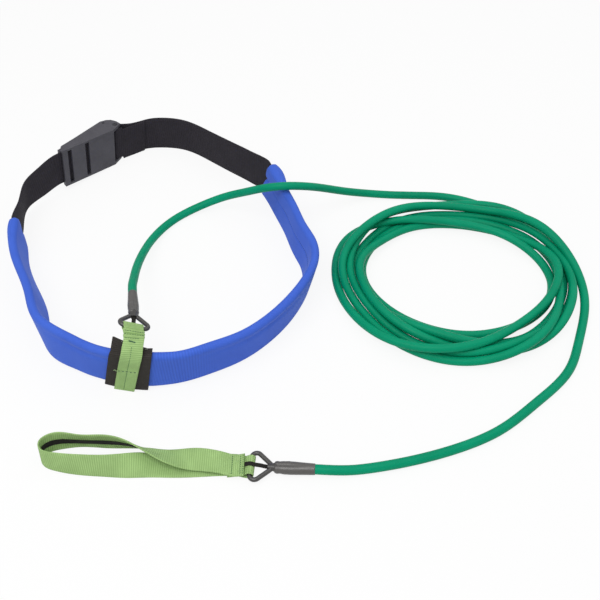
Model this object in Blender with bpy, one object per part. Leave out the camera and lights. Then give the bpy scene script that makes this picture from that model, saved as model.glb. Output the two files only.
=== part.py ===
"""Swim resistance belt: a padded waist belt with a lever buckle, a sliding tether strap,
an elastic tube with a ring at each end, and a webbing hand loop.

The belt stands on its lower edge on the floor, z = 0. Its front, where the tether strap
slides, faces -Y, and the tube lies coiled at +X. Units are metres, +Z is up.
"""
import math

import bmesh
import bpy
import numpy as np
from mathutils import Matrix, Vector

# Places below are read in a drawing frame whose point here becomes the object's origin
DRAWING_CENTRE = (-0.0013, -0.0017, 0.0)

# Clearances
GAP = 0.0003
SLIDE_GAP = 0.0005
FLOOR_GAP = 0.0008

# Belt webbing and pad
WEBBING_WIDTH = 0.050
WEBBING_THICK = 0.0018
WEBBING_STEP = 0.010
FOAM_THICK = 0.0040
FOAM_SETBACK = 0.012
COVER_WALL = 0.0010
COVER_HEADROOM = 0.0004
COVER_EDGE_RADIUS = 0.0016
COVER_END_TAPER = 0.016
OFFSET_EASE = 0.030

# The front of the belt is a true arc, so that the slider can travel along it
FRONT_CENTRE = (0.0055, 0.0150)
FRONT_RADIUS = 0.1650
FRONT_HALF_ANGLE = 20.0
SLIDER_BEARING = 262.0

# Lever buckle, in its own frame: x along the belt, y away from the wearer, z up
BUCKLE_ORIGIN = (-0.1453, 0.1693, 0.0079)
BUCKLE_TURN = (5.9, 5.0, 45.4)
CHEEK_WALL = 0.0040
CHANNEL_SIDE_GAP = 0.0005
PLATE_LENGTH = 0.080
PLATE_THICK = 0.0035
CHANNEL_SLACK = 0.0002
WEBBING_IN_BUCKLE = 0.078
SLOT_WIDTH = 0.006
SLOT_STARTS = (0.0076, 0.0342)
SLOT_END_WALL = 0.003
SLOT_RELIEF = 0.0012
BUCKLE_BEVEL = 0.0006
BACK_HEEL = (0.0050, 0.0104)
BACK_BEND = (0.0283, 0.0149)
CHEEK_PROFILE = ((0.0, 0.0), (PLATE_LENGTH, 0.0), (0.0952, 0.0066), (0.0938, 0.0138), (0.0898, 0.0201),
                 (0.0841, 0.0235), (0.0755, 0.0251), BACK_BEND, BACK_HEEL, (0.0005, 0.0058))
LEVER_PIN_AT = (0.0770, 0.0196)
LEVER_PIN_RADIUS = 0.0015
LEVER_SIDE_GAP = 0.0005
LEVER_WALL = 0.0034
LEVER_CREST = (0.0755, 0.0248)
LEVER_THROAT = (0.0640, 0.0215)
LEVER_BARREL_RADIUS = 0.0052
LEVER_BARREL_ARC = (80.0, 20.0)
LEVER_TIP = (-0.0080, 0.0084)
LEVER_TIP_THICK = 0.0022
LEVER_TAB_WIDTH = 0.026
LEVER_RIB = 0.0030
LEVER_RIB_PROFILE = ((0.0120, 0.0100), (0.0120, 0.0075), (0.0560, 0.0088), (0.0640, 0.0105),
                     (0.0640, 0.0180))
CAM_GRIP_GAP = 0.0004
CAM_FACE = (236.0, 284.0)
CAM_TEETH = 6
CAM_TOOTH_DEPTH = 0.0010
CAM_CLEAR_RADIUS = 0.0066
CAM_CLEAR_ARC = (-10.0, -40.0)
BAR_AT = (0.0880, 0.0088)
BAR_RADIUS = 0.0030
CUT_ROOM = 0.015

# Slider: a webbing sleeve round the pad, with a tether strap sewn on it
SLIDER_WIDTH = 0.046
SLIDER_WALL = 0.0020
SLIDER_EDGE_RADIUS = 0.0036
SLIDER_SKEW = 4.6
FIN_LEFT = 0.0130
FIN_RIGHT = 0.0040
FIN_LEAN = 45.0
FIN_THICK = 0.0036
FIN_ROOT = 0.0025
FIN_SLACK = 0.0015
STRAP_WIDTH = 0.0245
STRAP_THICK = 0.0015
STRAP_RING_WIDTH = 0.0210
SLIDER_STRAP_WIDTH = 0.0226
STRAP_NARROWING = 0.020

# From the strap's face and the sleeve's top: outward and up
STRAP_OVER_FIN = ((0.0, -0.0035), (-0.0022, 0.0030), (-0.0068, 0.0082), (-0.0124, 0.0118))

# In ring 1's frame: x and z, before and after the wrap round its bar
STRAP_TO_RING = ((-0.0090, 0.0034),)
STRAP_FROM_RING = ((-0.0060, -0.0010), (-0.0115, 0.0004))

# Rings, each in its own frame: x from the bar to the tube, y along the bar
RING_WIRE = 0.0048
RING_HALF_BAR = 0.0222
RING_APEX = 0.0232
RING_CORNER = 0.0050
NECK_START = 0.0180
NECK_CHAMFER = 0.0030
NECK_END = 0.0330
NECK_RADIUS = 0.0040
BARB_END = 0.0520
BARBS = 3
TUBE_RADIUS = 0.0050
TUBE_BORE_RADIUS = 0.0028
TUBE_IN_SLEEVE_RADIUS = 0.0044
TUBE_STRAIGHT = 0.0080
SLEEVE_START = 0.0240
SLEEVE_END = 0.0665
SLEEVE_TAPER = 0.0105
SLEEVE_WALL = 0.0008
SLEEVE_BULGE = ((0.0, 0.0051), (0.0035, 0.0061), (0.0085, 0.0064), (0.0160, 0.0061))
RING_1_INSET = 0.02425
RING_1_RISE = 0.0088
RING_1_TURN = (25.3, 13.1, 102.0)
RING_2_AT = (0.1195, -0.2520, 0.0056)
RING_2_TURN = (0.0, -2.0, -2.0)

# Safety strands beside the straps, with their ends in the ring's frame
STRAND_WIDTH = 0.0045
STRAND_THICK = 0.0010
STRAND_1_START = ((0.0150, 0.0), (0.0095, -0.0022))
STRAND_2_START = ((0.0150, 0.0), (0.0110, 0.0018))
STRAND_2_END = (-0.0045, 0.0030)
TAPE_WIDTH = 0.0065
TAPE_THICK = 0.0007

# Coil of tube on the floor
COIL_CENTRE = (0.3550, 0.0130)
COIL_OUTER = (0.1510, 0.1390)
COIL_INNER = (0.1080, 0.0900)
COIL_HEIGHT = 0.0200
COIL_ROUNDING = 0.0050

WEBBING_ROOM = WEBBING_THICK / 2.0 + GAP
PAD_FILL = WEBBING_THICK + GAP + FOAM_THICK
PAD_HALF_THICK = PAD_FILL / 2.0 + GAP + COVER_WALL
PAD_HALF_HEIGHT = WEBBING_WIDTH / 2.0 + COVER_HEADROOM + COVER_WALL
WEBBING_IN_PAD = -(FOAM_THICK + GAP) / 2.0
FOAM_IN_PAD = (WEBBING_THICK + GAP) / 2.0
FRONT_LIFT = SLIDER_WALL + SLIDE_GAP
FRONT_MID = PAD_HALF_HEIGHT + FRONT_LIFT
SIDE_MID = PAD_HALF_HEIGHT + FLOOR_GAP
BUCKLE_HEIGHT = WEBBING_WIDTH + 2.0 * (CHANNEL_SIDE_GAP + CHEEK_WALL)
WRAP_RADIUS = RING_WIRE / 2.0 + GAP + STRAP_THICK / 2.0
BAR_WRAP_RADIUS = BAR_RADIUS + WEBBING_ROOM
CHANNEL_LINE = PLATE_THICK + WEBBING_ROOM + CHANNEL_SLACK

# The webbing at the buckle: places from the bar's centre, and places along the channel
FOLD_BACK_ROUTE = ((0.0410, -0.0115), (0.0300, -0.0096), (0.0200, -0.0074), (0.0100, -0.0055))
BAR_EXIT_ROUTE = ((0.0072, 0.0031), (0.0130, 0.0), (0.0190, -0.0035), (0.0300, -0.0071),
                  (0.0410, -0.0091))
CHANNEL_ROUTE = (-0.006, 0.004, 0.030, 0.056, WEBBING_IN_BUCKLE)

# Routes, chosen by hand: x, y, height of the middle, outward lean at the top in degrees
RIGHT_BACK_ROUTE = ((-0.0180, 0.2650, 0.0258, 0), (0.0050, 0.2600, 0.0259, 0),
                    (0.0400, 0.2370, 0.0262, 0), (0.0760, 0.2080, 0.0268, 0),
                    (0.1150, 0.1750, SIDE_MID, 0), (0.1320, 0.1500, SIDE_MID, 0))
RIGHT_ROUTE = ((0.1420, 0.1180, SIDE_MID, 0), (0.1580, 0.0830, SIDE_MID, 0),
               (0.1700, 0.0460, SIDE_MID, 3), (0.1785, 0.0220, SIDE_MID, 8),
               (0.1795, -0.0040, SIDE_MID, 11), (0.1710, -0.0335, SIDE_MID, 11),
               (0.1532, -0.0685, SIDE_MID, 9), (0.1284, -0.1000, SIDE_MID, 8),
               (0.1030, -0.1206, SIDE_MID, 6), (0.0725, -0.1353, SIDE_MID + 0.0007, 4))
LEFT_ROUTE = ((-0.0985, -0.1162, SIDE_MID + 0.0007, 4), (-0.1160, -0.0965, SIDE_MID, 8),
              (-0.1330, -0.0580, SIDE_MID, 9), (-0.1558, -0.0050, SIDE_MID, 9),
              (-0.1720, 0.0380, 0.0275, 6), (-0.1800, 0.0640, 0.0275, 0),
              (-0.1852, 0.1000, 0.0285, -12), (-0.1834, 0.1290, 0.0310, -13),
              (-0.1712, 0.1530, 0.0345, -9))
PAD_RIGHT_END = (0.1220, 0.1670)
PAD_LEFT_END = (-0.1798, 0.0620)

# The hand loop's webbing: lower and upper edge at each place along it
HAND_LOOP_ROUTE = (
    ((0.1135, -0.2405, 0.0088), (0.1135, -0.2640, 0.0088)),
    ((0.1040, -0.2398, 0.0060), (0.1040, -0.2640, 0.0060)),
    ((0.0940, -0.2374, 0.0056), (0.0940, -0.2610, 0.0054)),
    ((0.0800, -0.2340, 0.0064), (0.0800, -0.2582, 0.0046)),
    ((0.0660, -0.2325, 0.0066), (0.0660, -0.2568, 0.0044)),
    ((0.0460, -0.2328, 0.0034), (0.0480, -0.2550, 0.0095)),
    ((0.0330, -0.2325, 0.0022), (0.0340, -0.2515, 0.0142)),
    ((0.0220, -0.2310, 0.0016), (0.0230, -0.2465, 0.0180)),
    ((0.0040, -0.2290, 0.0006), (-0.0010, -0.2355, 0.0236)),
    ((-0.0240, -0.2288, 0.0004), (-0.0265, -0.2286, 0.0248)),
    ((-0.0510, -0.2275, 0.0004), (-0.0500, -0.2287, 0.0248)),
    ((-0.0715, -0.2305, 0.0004), (-0.0700, -0.2255, 0.0244)),
    ((-0.0835, -0.2340, 0.0004), (-0.0815, -0.2275, 0.0241)),
    ((-0.0900, -0.2410, 0.0004), (-0.0890, -0.2345, 0.0241)),
    ((-0.0865, -0.2490, 0.0004), (-0.0870, -0.2430, 0.0242)),
    ((-0.0742, -0.2542, 0.0004), (-0.0760, -0.2472, 0.0238)),
    ((-0.0450, -0.2594, 0.0005), (-0.0470, -0.2493, 0.0225)),
    ((-0.0200, -0.2608, 0.0005), (-0.0200, -0.2490, 0.0218)),
    ((-0.0040, -0.2615, 0.0006), (-0.0040, -0.2455, 0.0185)),
    ((0.0110, -0.2620, 0.0007), (0.0110, -0.2405, 0.0122)),
    ((0.0240, -0.2622, 0.0008), (0.0240, -0.2380, 0.0048)),
    ((0.0400, -0.2624, 0.0008), (0.0400, -0.2379, 0.0012)),
    ((0.0700, -0.2628, 0.0008), (0.0700, -0.2383, 0.0008)),
    ((0.1000, -0.2636, 0.0008), (0.1000, -0.2391, 0.0008)),
    ((0.1100, -0.2641, 0.0012), (0.1100, -0.2400, 0.0012)),
)
HAND_TAPE_LAST = 13
LOOP_FLOOR_GAP = 0.0003

# The loop's end, in ring 2's frame, and how far from it the webbing narrows for the bar
LOOP_FROM_RING = ((-0.0062, 0.0002), (-0.0130, -0.0026), (-0.0220, -0.0030))
LOOP_NARROW_START = 0.042
LOOP_NARROWING = 0.016
LOOP_WIDENING = 0.010

# The free tube where it isn't coiled: the centre of the tube, every few centimetres
LEAD_ROUTE = (
    (-0.0206, -0.0380, 0.0440), (-0.0230, -0.0080, 0.0335), (-0.0220, 0.0300, 0.0215),
    (-0.0140, 0.0730, 0.0098), (0.0060, 0.1080, 0.0056), (0.0370, 0.1290, 0.0095),
    (0.0710, 0.1320, 0.0232), (0.0990, 0.1210, 0.0405), (0.1240, 0.1100, 0.0560),
    (0.1470, 0.1070, 0.0616), (0.1680, 0.1120, 0.0575), (0.1930, 0.1260, 0.0432),
    (0.2270, 0.1440, 0.0222), (0.2610, 0.1560, 0.0085), (0.2900, 0.1572, 0.0053),
    (0.3180, 0.1530, 0.0053))
TAIL_ROUTE = (
    (0.5056, -0.0262, 0.0053), (0.5010, -0.0500, 0.0053), (0.4900, -0.0780, 0.0053),
    (0.4600, -0.1330, 0.0053), (0.4160, -0.1750, 0.0053), (0.3700, -0.2100, 0.0053),
    (0.3370, -0.2260, 0.0053), (0.3060, -0.2370, 0.0053), (0.2760, -0.2450, 0.0055),
    (0.2460, -0.2510, 0.0059), (0.2170, -0.2545, 0.0066))


def material(name, colour, roughness, metallic=0.0):
    mat = bpy.data.materials.new(name)
    mat.use_nodes = True
    shader = mat.node_tree.nodes["Principled BSDF"]
    shader.inputs["Base Color"].default_value = (*colour, 1.0)
    shader.inputs["Roughness"].default_value = roughness
    shader.inputs["Metallic"].default_value = metallic
    return mat


def place(thing, parent):
    """Links an object; one without a parent is moved from the drawing frame to the origin."""
    bpy.context.scene.collection.objects.link(thing)
    if parent is None:
        thing.location = Vector(thing.location) - Vector(DRAWING_CENTRE)
    else:
        thing.parent = parent


def add_object(name, mesh, mat, parent=None):
    mesh.name = name
    mesh.materials.append(mat)
    obj = bpy.data.objects.new(name, mesh)
    place(obj, parent)
    return obj


def frame_empty(name, location, turn_degrees):
    """A frame that pieces stand in; its turns are about x, then y, then z."""
    frame = bpy.data.objects.new(name, None)
    frame.location = location
    frame.rotation_euler = [math.radians(angle) for angle in turn_degrees]
    place(frame, None)
    return frame


def frame_matrix(location, turn_degrees):
    turn = Matrix.Identity(4)
    for axis, angle in zip("XYZ", turn_degrees):
        turn = Matrix.Rotation(math.radians(angle), 4, axis) @ turn
    return Matrix.Translation(location) @ turn


def finish_mesh(bm, smooth_angle=40.0):
    bmesh.ops.recalc_face_normals(bm, faces=bm.faces)
    mesh = bpy.data.meshes.new("solid")
    bm.to_mesh(mesh)
    bm.free()
    mesh.shade_smooth()
    mesh.set_sharp_from_angle(angle=math.radians(smooth_angle))
    return mesh


def smooth_curve(points, spacing):
    """A natural cubic spline through all the points, filled in to about the spacing."""
    p = np.array(points, dtype=float)
    chord = np.linalg.norm(np.diff(p[:, :3], axis=0), axis=1)
    last = len(p) - 1
    matrix = np.eye(len(p))
    rhs = np.zeros_like(p)
    for i in range(1, last):
        matrix[i, i - 1] = chord[i - 1]
        matrix[i, i] = 2.0 * (chord[i - 1] + chord[i])
        matrix[i, i + 1] = chord[i]
        rhs[i] = 6.0 * ((p[i + 1] - p[i]) / chord[i] - (p[i] - p[i - 1]) / chord[i - 1])
    bend = np.linalg.solve(matrix, rhs)
    out = []
    for i in range(last):
        steps = max(1, int(round(chord[i] / spacing)))
        for k in range(steps):
            b = k / steps
            a = 1.0 - b
            cubic = ((a ** 3 - a) * bend[i] + (b ** 3 - b) * bend[i + 1]) * chord[i] ** 2 / 6.0
            out.append(a * p[i] + b * p[i + 1] + cubic)
    out.append(p[-1])
    return np.array(out)


def lengths_along(points):
    steps = np.linalg.norm(np.diff(points[:, :3], axis=0), axis=1)
    return np.concatenate([[0.0], np.cumsum(steps)])


def add_walls(bm, rows):
    """Walls between rows of vertices, cut so that two twisted straps stay parallel."""
    for low, high in zip(rows, rows[1:]):
        count = len(low)
        for i in range(count):
            j = (i + 1) % count
            if i < count / 2:
                corners = ((low[i], low[j], high[j]), (low[i], high[j], high[i]))
            else:
                corners = ((low[i], low[j], high[i]), (low[j], high[j], high[i]))
            for corner in corners:
                bm.faces.new(corner)


def loft(rings, closed=False):
    """A solid from rings of points; an open loft is capped at both ends."""
    bm = bmesh.new()
    rows = [[bm.verts.new(point) for point in ring] for ring in rings]
    add_walls(bm, rows + rows[:1] if closed else rows)
    if not closed:
        bm.faces.new(rows[0])
        bm.faces.new(list(reversed(rows[-1])))
    return bm


def shell_loft(outer, inner):
    """An open-ended sleeve between outer and inner rings that match point for point."""
    bm = bmesh.new()
    walls = []
    for rings in (outer, inner):
        rows = [[bm.verts.new(point) for point in ring] for ring in rings]
        walls.append(rows)
        add_walls(bm, rows)
    for end in (0, -1):
        out_row, in_row = walls[0][end], walls[1][end]
        for i in range(len(out_row)):
            j = (i + 1) % len(out_row)
            bm.faces.new((out_row[i], out_row[j], in_row[j], in_row[i]))
    return bm


def strap_frames(stations, square=True):
    """For each station (centre, then width direction): centre, across, face normal.

    A square strap's width is turned to stand at right angles to its length.
    """
    centres = stations[:, :3]
    ahead = np.gradient(centres, axis=0)
    ahead /= np.linalg.norm(ahead, axis=1)[:, None]
    frames = []
    for centre, along, width in zip(centres, ahead, stations[:, 3:6]):
        across = width - np.dot(width, along) * along if square else width
        across = across / np.linalg.norm(across)
        normal = np.cross(along, across)
        frames.append((centre, across, normal / np.linalg.norm(normal)))
    return frames


def ribbon(frames, widths, thick, offset=0.0, stripe=0.0):
    """A flat strap; one width or one for each station, off its centre line by the offset.

    A stripe's width adds lines along the strap, so that a narrower strap can lie on it.
    """
    widths = np.broadcast_to(widths, len(frames))
    rings = []
    for frame, width in zip(frames, widths):
        half = width / 2.0
        across = [half, stripe / 2.0, -stripe / 2.0, -half] if stripe else [half, -half]
        section = [(a, offset - thick / 2.0) for a in across]
        section += [(a, offset + thick / 2.0) for a in reversed(across)]
        rings.append(in_frame(frame, section))
    return loft(rings)


def rounded_section(half_a, low_b, high_b, radius):
    """Points round a rectangle with cut corners, as (a, b) pairs."""
    r = min(radius, 0.45 * (high_b - low_b), 0.45 * half_a)
    return [(half_a, low_b + r), (half_a, high_b - r), (half_a - r, high_b), (r - half_a, high_b),
            (-half_a, high_b - r), (-half_a, low_b + r), (r - half_a, low_b), (half_a - r, low_b)]


def in_frame(frame, section):
    centre, across, normal = frame
    return [centre + a * across + b * normal for a, b in section]


def round_section(frame, radius, sides):
    angles = [2.0 * math.pi * k / sides for k in range(sides)]
    return in_frame(frame, [(radius * math.cos(t), radius * math.sin(t)) for t in angles])


def turned(profile, sides=20):
    """A closed profile of (along, radius) pairs, turned about the local x axis."""
    rings = []
    for k in range(sides):
        angle = 2.0 * math.pi * k / sides
        rings.append([(x, r * math.cos(angle), r * math.sin(angle)) for x, r in profile])
    return loft(rings, closed=True)


def rod(profile, sides=16):
    """A solid rod along the local x axis through (along, radius) pairs."""
    rings = []
    for x, r in profile:
        angles = [2.0 * math.pi * k / sides for k in range(sides)]
        rings.append([(x, r * math.cos(t), r * math.sin(t)) for t in angles])
    return loft(rings)


def prism(outline, low, high):
    """An outline in x and y, extruded along z from low to high."""
    return loft([[(x, y, low) for x, y in outline], [(x, y, high) for x, y in outline]])


def upright_cylinder(centre, radius, low, high, sides=20):
    angles = [2.0 * math.pi * k / sides for k in range(sides)]
    outline = [(centre[0] + radius * math.cos(t), centre[1] + radius * math.sin(t)) for t in angles]
    return prism(outline, low, high)


def box(low, high):
    return prism([(low[0], low[1]), (high[0], low[1]), (high[0], high[1]), (low[0], high[1])],
                 low[2], high[2])


def join(obj, bm, operation, name):
    """Adds a Boolean of a guide shape; the guide itself isn't part of the model."""
    guide = add_object(name, finish_mesh(bm), obj.data.materials[0], obj.parent)
    guide.hide_render = True
    guide.display_type = "WIRE"
    modifier = obj.modifiers.new(name, "BOOLEAN")
    modifier.operation = operation
    modifier.object = guide


def soften_edges(obj, width):
    modifier = obj.modifiers.new("edges", "BEVEL")
    modifier.width = width
    modifier.segments = 1
    modifier.limit_method = "ANGLE"
    modifier.angle_limit = math.radians(35.0)


def arc(centre, radius, start, end, steps):
    """Points (x, y) on an arc from one angle to another, in degrees."""
    angles = np.radians(np.linspace(start, end, steps + 1))
    return [(centre[0] + radius * math.cos(t), centre[1] + radius * math.sin(t)) for t in angles]


# The belt's line, followed clockwise from above, starting where the webbing is folded back


def buckle_station(x, y):
    matrix = frame_matrix(BUCKLE_ORIGIN, BUCKLE_TURN)
    up = matrix.to_3x3() @ Vector((0.0, 0.0, 1.0))
    return [*(matrix @ Vector((x, y, BUCKLE_HEIGHT / 2.0))), *up]


def belt_station(x, y, height, lean):
    out = Vector((x - FRONT_CENTRE[0], y - FRONT_CENTRE[1], 0.0)).normalized()
    tilt = math.radians(lean)
    up = Vector((0.0, 0.0, math.cos(tilt))) + out * math.sin(tilt)
    return [x, y, height, *up]


def belt_line():
    line = [buckle_station(BAR_AT[0] + x, BAR_AT[1] + y) for x, y in FOLD_BACK_ROUTE]
    line += [buckle_station(x, y) for x, y in arc(BAR_AT, BAR_WRAP_RADIUS, 270.0, 76.0, 9)]
    line += [buckle_station(BAR_AT[0] + x, BAR_AT[1] + y) for x, y in BAR_EXIT_ROUTE]
    line += [belt_station(*values) for values in RIGHT_BACK_ROUTE + RIGHT_ROUTE]
    last = SLIDER_BEARING - FRONT_HALF_ANGLE
    for x, y in arc(FRONT_CENTRE, FRONT_RADIUS, SLIDER_BEARING + FRONT_HALF_ANGLE, last, 11):
        line.append(belt_station(x, y, FRONT_MID, 0.0))
    line += [belt_station(*values) for values in LEFT_ROUTE]
    line += [buckle_station(x, CHANNEL_LINE) for x in CHANNEL_ROUTE]
    return smooth_curve(line, WEBBING_STEP)


def nearest(stations, point):
    return int(np.argmin(np.hypot(stations[:, 0] - point[0], stations[:, 1] - point[1])))


def belt_webbing(frames, along, pad, mat):
    """In the pad the webbing lies next to the outer wall, with the foam on the wearer's side."""
    start, end = along[pad[0]], along[pad[1]]
    rings = []
    for (centre, across, normal), s in zip(frames, along):
        inside = np.clip(min(s - start, end - s) / OFFSET_EASE + 1.0, 0.0, 1.0)
        ease = inside * inside * (3.0 - 2.0 * inside)
        shifted = (centre + WEBBING_IN_PAD * ease * normal, across, normal)
        half = WEBBING_THICK / 2.0
        rings.append(in_frame(shifted, [(WEBBING_WIDTH / 2.0, -half), (-WEBBING_WIDTH / 2.0, -half),
                                        (-WEBBING_WIDTH / 2.0, half), (WEBBING_WIDTH / 2.0, half)]))
    return add_object("belt_webbing", finish_mesh(loft(rings)), mat)


def pad_cover(frames, along, pad, mat):
    """The cover narrows at both ends on the wearer's side, where there is no foam."""
    start, end = along[pad[0]], along[pad[1]]
    closed = WEBBING_IN_PAD + WEBBING_ROOM
    outer, inner = [], []
    for i in range(pad[0], pad[1] + 1):
        full = min(1.0, min(along[i] - start, end - along[i]) / COVER_END_TAPER)
        low = COVER_WALL - PAD_HALF_THICK
        high = closed + full * (PAD_HALF_THICK - COVER_WALL - closed)
        half = PAD_HALF_HEIGHT - COVER_WALL
        inner.append(in_frame(frames[i], rounded_section(half, low, high, COVER_HEADROOM)))
        outer.append(in_frame(frames[i], rounded_section(half + COVER_WALL, low - COVER_WALL,
                                                         high + COVER_WALL, COVER_EDGE_RADIUS)))
    return add_object("pad_cover", finish_mesh(shell_loft(outer, inner), 60.0), mat)


def pad_foam(frames, along, pad, mat):
    start, end = along[pad[0]] + FOAM_SETBACK, along[pad[1]] - FOAM_SETBACK
    inside = [frame for frame, s in zip(frames, along) if start <= s <= end]
    narrow = WEBBING_WIDTH - 2.0 * COVER_HEADROOM
    return add_object("pad_foam", finish_mesh(ribbon(inside, narrow, FOAM_THICK, FOAM_IN_PAD)), mat)


# The buckle


def buckle_frame(home, mat):
    """Two cheeks joined by a slotted plate, with the webbing's channel between them."""
    obj = add_object("buckle_frame", finish_mesh(prism(CHEEK_PROFILE, 0.0, BUCKLE_HEIGHT)), mat, home)
    far = max(x for x, _ in CHEEK_PROFILE) + CUT_ROOM
    back = max(y for _, y in CHEEK_PROFILE) + CUT_ROOM
    channel = box((-CUT_ROOM, PLATE_THICK, CHEEK_WALL), (far, back, BUCKLE_HEIGHT - CHEEK_WALL))
    join(obj, channel, "DIFFERENCE", "channel_cut")
    mouth = box((PLATE_LENGTH, -CUT_ROOM, CHEEK_WALL),
                (far, back - CUT_ROOM / 2.0, BUCKLE_HEIGHT - CHEEK_WALL))
    join(obj, mouth, "DIFFERENCE", "mouth_cut")
    for k, start in enumerate(SLOT_STARTS):
        slot = box((start, -CUT_ROOM, SLOT_END_WALL),
                   (start + SLOT_WIDTH, PLATE_THICK + SLOT_RELIEF, BUCKLE_HEIGHT - SLOT_END_WALL))
        join(obj, slot, "DIFFERENCE", f"slot_cut_{k + 1}")
    soften_edges(obj, BUCKLE_BEVEL)
    for name, centre, radius in (("pin_hole", LEVER_PIN_AT, LEVER_PIN_RADIUS),
                                 ("bar_hole", BAR_AT, BAR_RADIUS)):
        hole = upright_cylinder(centre, radius + GAP, -CUT_ROOM, BUCKLE_HEIGHT + CUT_ROOM)
        join(obj, hole, "DIFFERENCE", name)
    return obj


def lever_outline():
    """The lever's side view: tab, flush back, round barrel, then the toothed cam."""
    pin = LEVER_PIN_AT
    grip = pin[1] - CHANNEL_LINE - WEBBING_THICK / 2.0 - CAM_GRIP_GAP
    outline = [(LEVER_TIP[0], LEVER_TIP[1] + LEVER_TIP_THICK), BACK_BEND, LEVER_CREST]
    outline += arc(pin, LEVER_BARREL_RADIUS, *LEVER_BARREL_ARC, 3)
    outline += arc(pin, CAM_CLEAR_RADIUS, *CAM_CLEAR_ARC, 2)
    teeth = np.linspace(CAM_FACE[1], CAM_FACE[0], 2 * CAM_TEETH + 1)
    for k, angle in enumerate(np.radians(teeth)):
        radius = grip - CAM_TOOTH_DEPTH * (k % 2)
        outline.append((pin[0] + radius * math.cos(angle), pin[1] + radius * math.sin(angle)))
    outline += [(x, y - LEVER_WALL) for x, y in (LEVER_THROAT, BACK_BEND, BACK_HEEL)]
    return outline + [LEVER_TIP]


def buckle_lever(home, mat):
    """The frame's origin is on the pin, so the outline is moved there."""
    pin = LEVER_PIN_AT
    low = CHEEK_WALL + LEVER_SIDE_GAP
    high = BUCKLE_HEIGHT - low
    outline = [(x - pin[0], y - pin[1]) for x, y in lever_outline()]
    obj = add_object("buckle_lever", finish_mesh(prism(outline, low, high)), mat, home)
    soften_edges(obj, BUCKLE_BEVEL / 2.0)
    middle = BUCKLE_HEIGHT / 2.0
    tip = LEVER_TIP[0] - pin[0] - CUT_ROOM
    for name, near, far in (("tab_side_low", -CUT_ROOM, middle - LEVER_TAB_WIDTH / 2.0),
                            ("tab_side_high", middle + LEVER_TAB_WIDTH / 2.0, BUCKLE_HEIGHT + CUT_ROOM)):
        notch = box((tip, -pin[1] - CUT_ROOM, near), (-pin[0], CUT_ROOM, far))
        join(obj, notch, "DIFFERENCE", name)
    rib = [(x - pin[0], y - pin[1]) for x, y in LEVER_RIB_PROFILE]
    for k, height in enumerate((low, middle - LEVER_RIB / 2.0, high - LEVER_RIB)):
        join(obj, prism(rib, height, height + LEVER_RIB), "UNION", f"rib_{k + 1}")
    hole = upright_cylinder((0.0, 0.0), LEVER_PIN_RADIUS + GAP, -CUT_ROOM, BUCKLE_HEIGHT + CUT_ROOM)
    join(obj, hole, "DIFFERENCE", "lever_pin_hole")
    return obj


# The slider and its strap


def slider_loop(mat):
    """A skewed sleeve round the front arc, its two layers sewn into a leaning fin on top."""
    half_high = PAD_HALF_HEIGHT + SLIDE_GAP
    half_thick = PAD_HALF_THICK + SLIDE_GAP
    lean = math.radians(FIN_LEAN)
    rise = np.array([-math.sin(lean), math.cos(lean)])
    side = np.array([math.cos(lean), math.sin(lean)]) * FIN_THICK / 2.0
    steps = 8
    half_angle = math.degrees(SLIDER_WIDTH / 2.0 / FRONT_RADIUS)
    outer, inner = [], []
    for k in range(steps + 1):
        part = k / steps
        fin = FIN_LEFT + (FIN_RIGHT - FIN_LEFT) * part
        top = half_high + SLIDER_WALL
        root = np.array([0.0, top])
        tip = root + fin * rise
        fin_points = [(FIN_ROOT, top), tuple(tip + side), tuple(tip - side), (-FIN_ROOT, top)]
        bearing = SLIDER_BEARING + half_angle * (2.0 * part - 1.0)
        wall = SLIDER_WALL
        outer.append(sleeve_ring(half_thick + wall, top, SLIDER_EDGE_RADIUS, fin_points, bearing))
        slack = [(x, half_high) for x in np.linspace(FIN_SLACK, -FIN_SLACK, len(fin_points))]
        inner.append(sleeve_ring(half_thick, half_high, SLIDER_EDGE_RADIUS - wall, slack, bearing))
    return add_object("slider_loop", finish_mesh(shell_loft(outer, inner), 50.0), mat)


def sleeve_ring(half_out, half_high, radius, top_points, bearing):
    """One cross-section of the sleeve; the bearing grows with height by the skew."""
    r = radius
    section = [(half_out, r - half_high), (half_out, 0.0), (half_out, half_high - r),
               (half_out - r, half_high)]
    section += top_points
    section += [(r - half_out, half_high), (-half_out, half_high - r), (-half_out, 0.0),
                (-half_out, r - half_high), (r - half_out, -half_high), (half_out - r, -half_high)]
    return [front_point(out, FRONT_MID + up, bearing) for out, up in section]


def skewed_angle(height, bearing):
    return math.radians(bearing + SLIDER_SKEW * min(height, 2.0 * FRONT_MID) / (2.0 * FRONT_MID))


def front_point(out, height, bearing):
    """A point at a distance outside the front arc, with the slider's skew."""
    angle = skewed_angle(height, bearing)
    radius = FRONT_RADIUS + out
    return (FRONT_CENTRE[0] + radius * math.cos(angle), FRONT_CENTRE[1] + radius * math.sin(angle), height)


def ring_1_at():
    """Ring 1 stands over the slider, its bar inside the front arc and above the sleeve's top."""
    return front_point(-RING_1_INSET, 2.0 * FRONT_MID + RING_1_RISE, SLIDER_BEARING)


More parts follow.
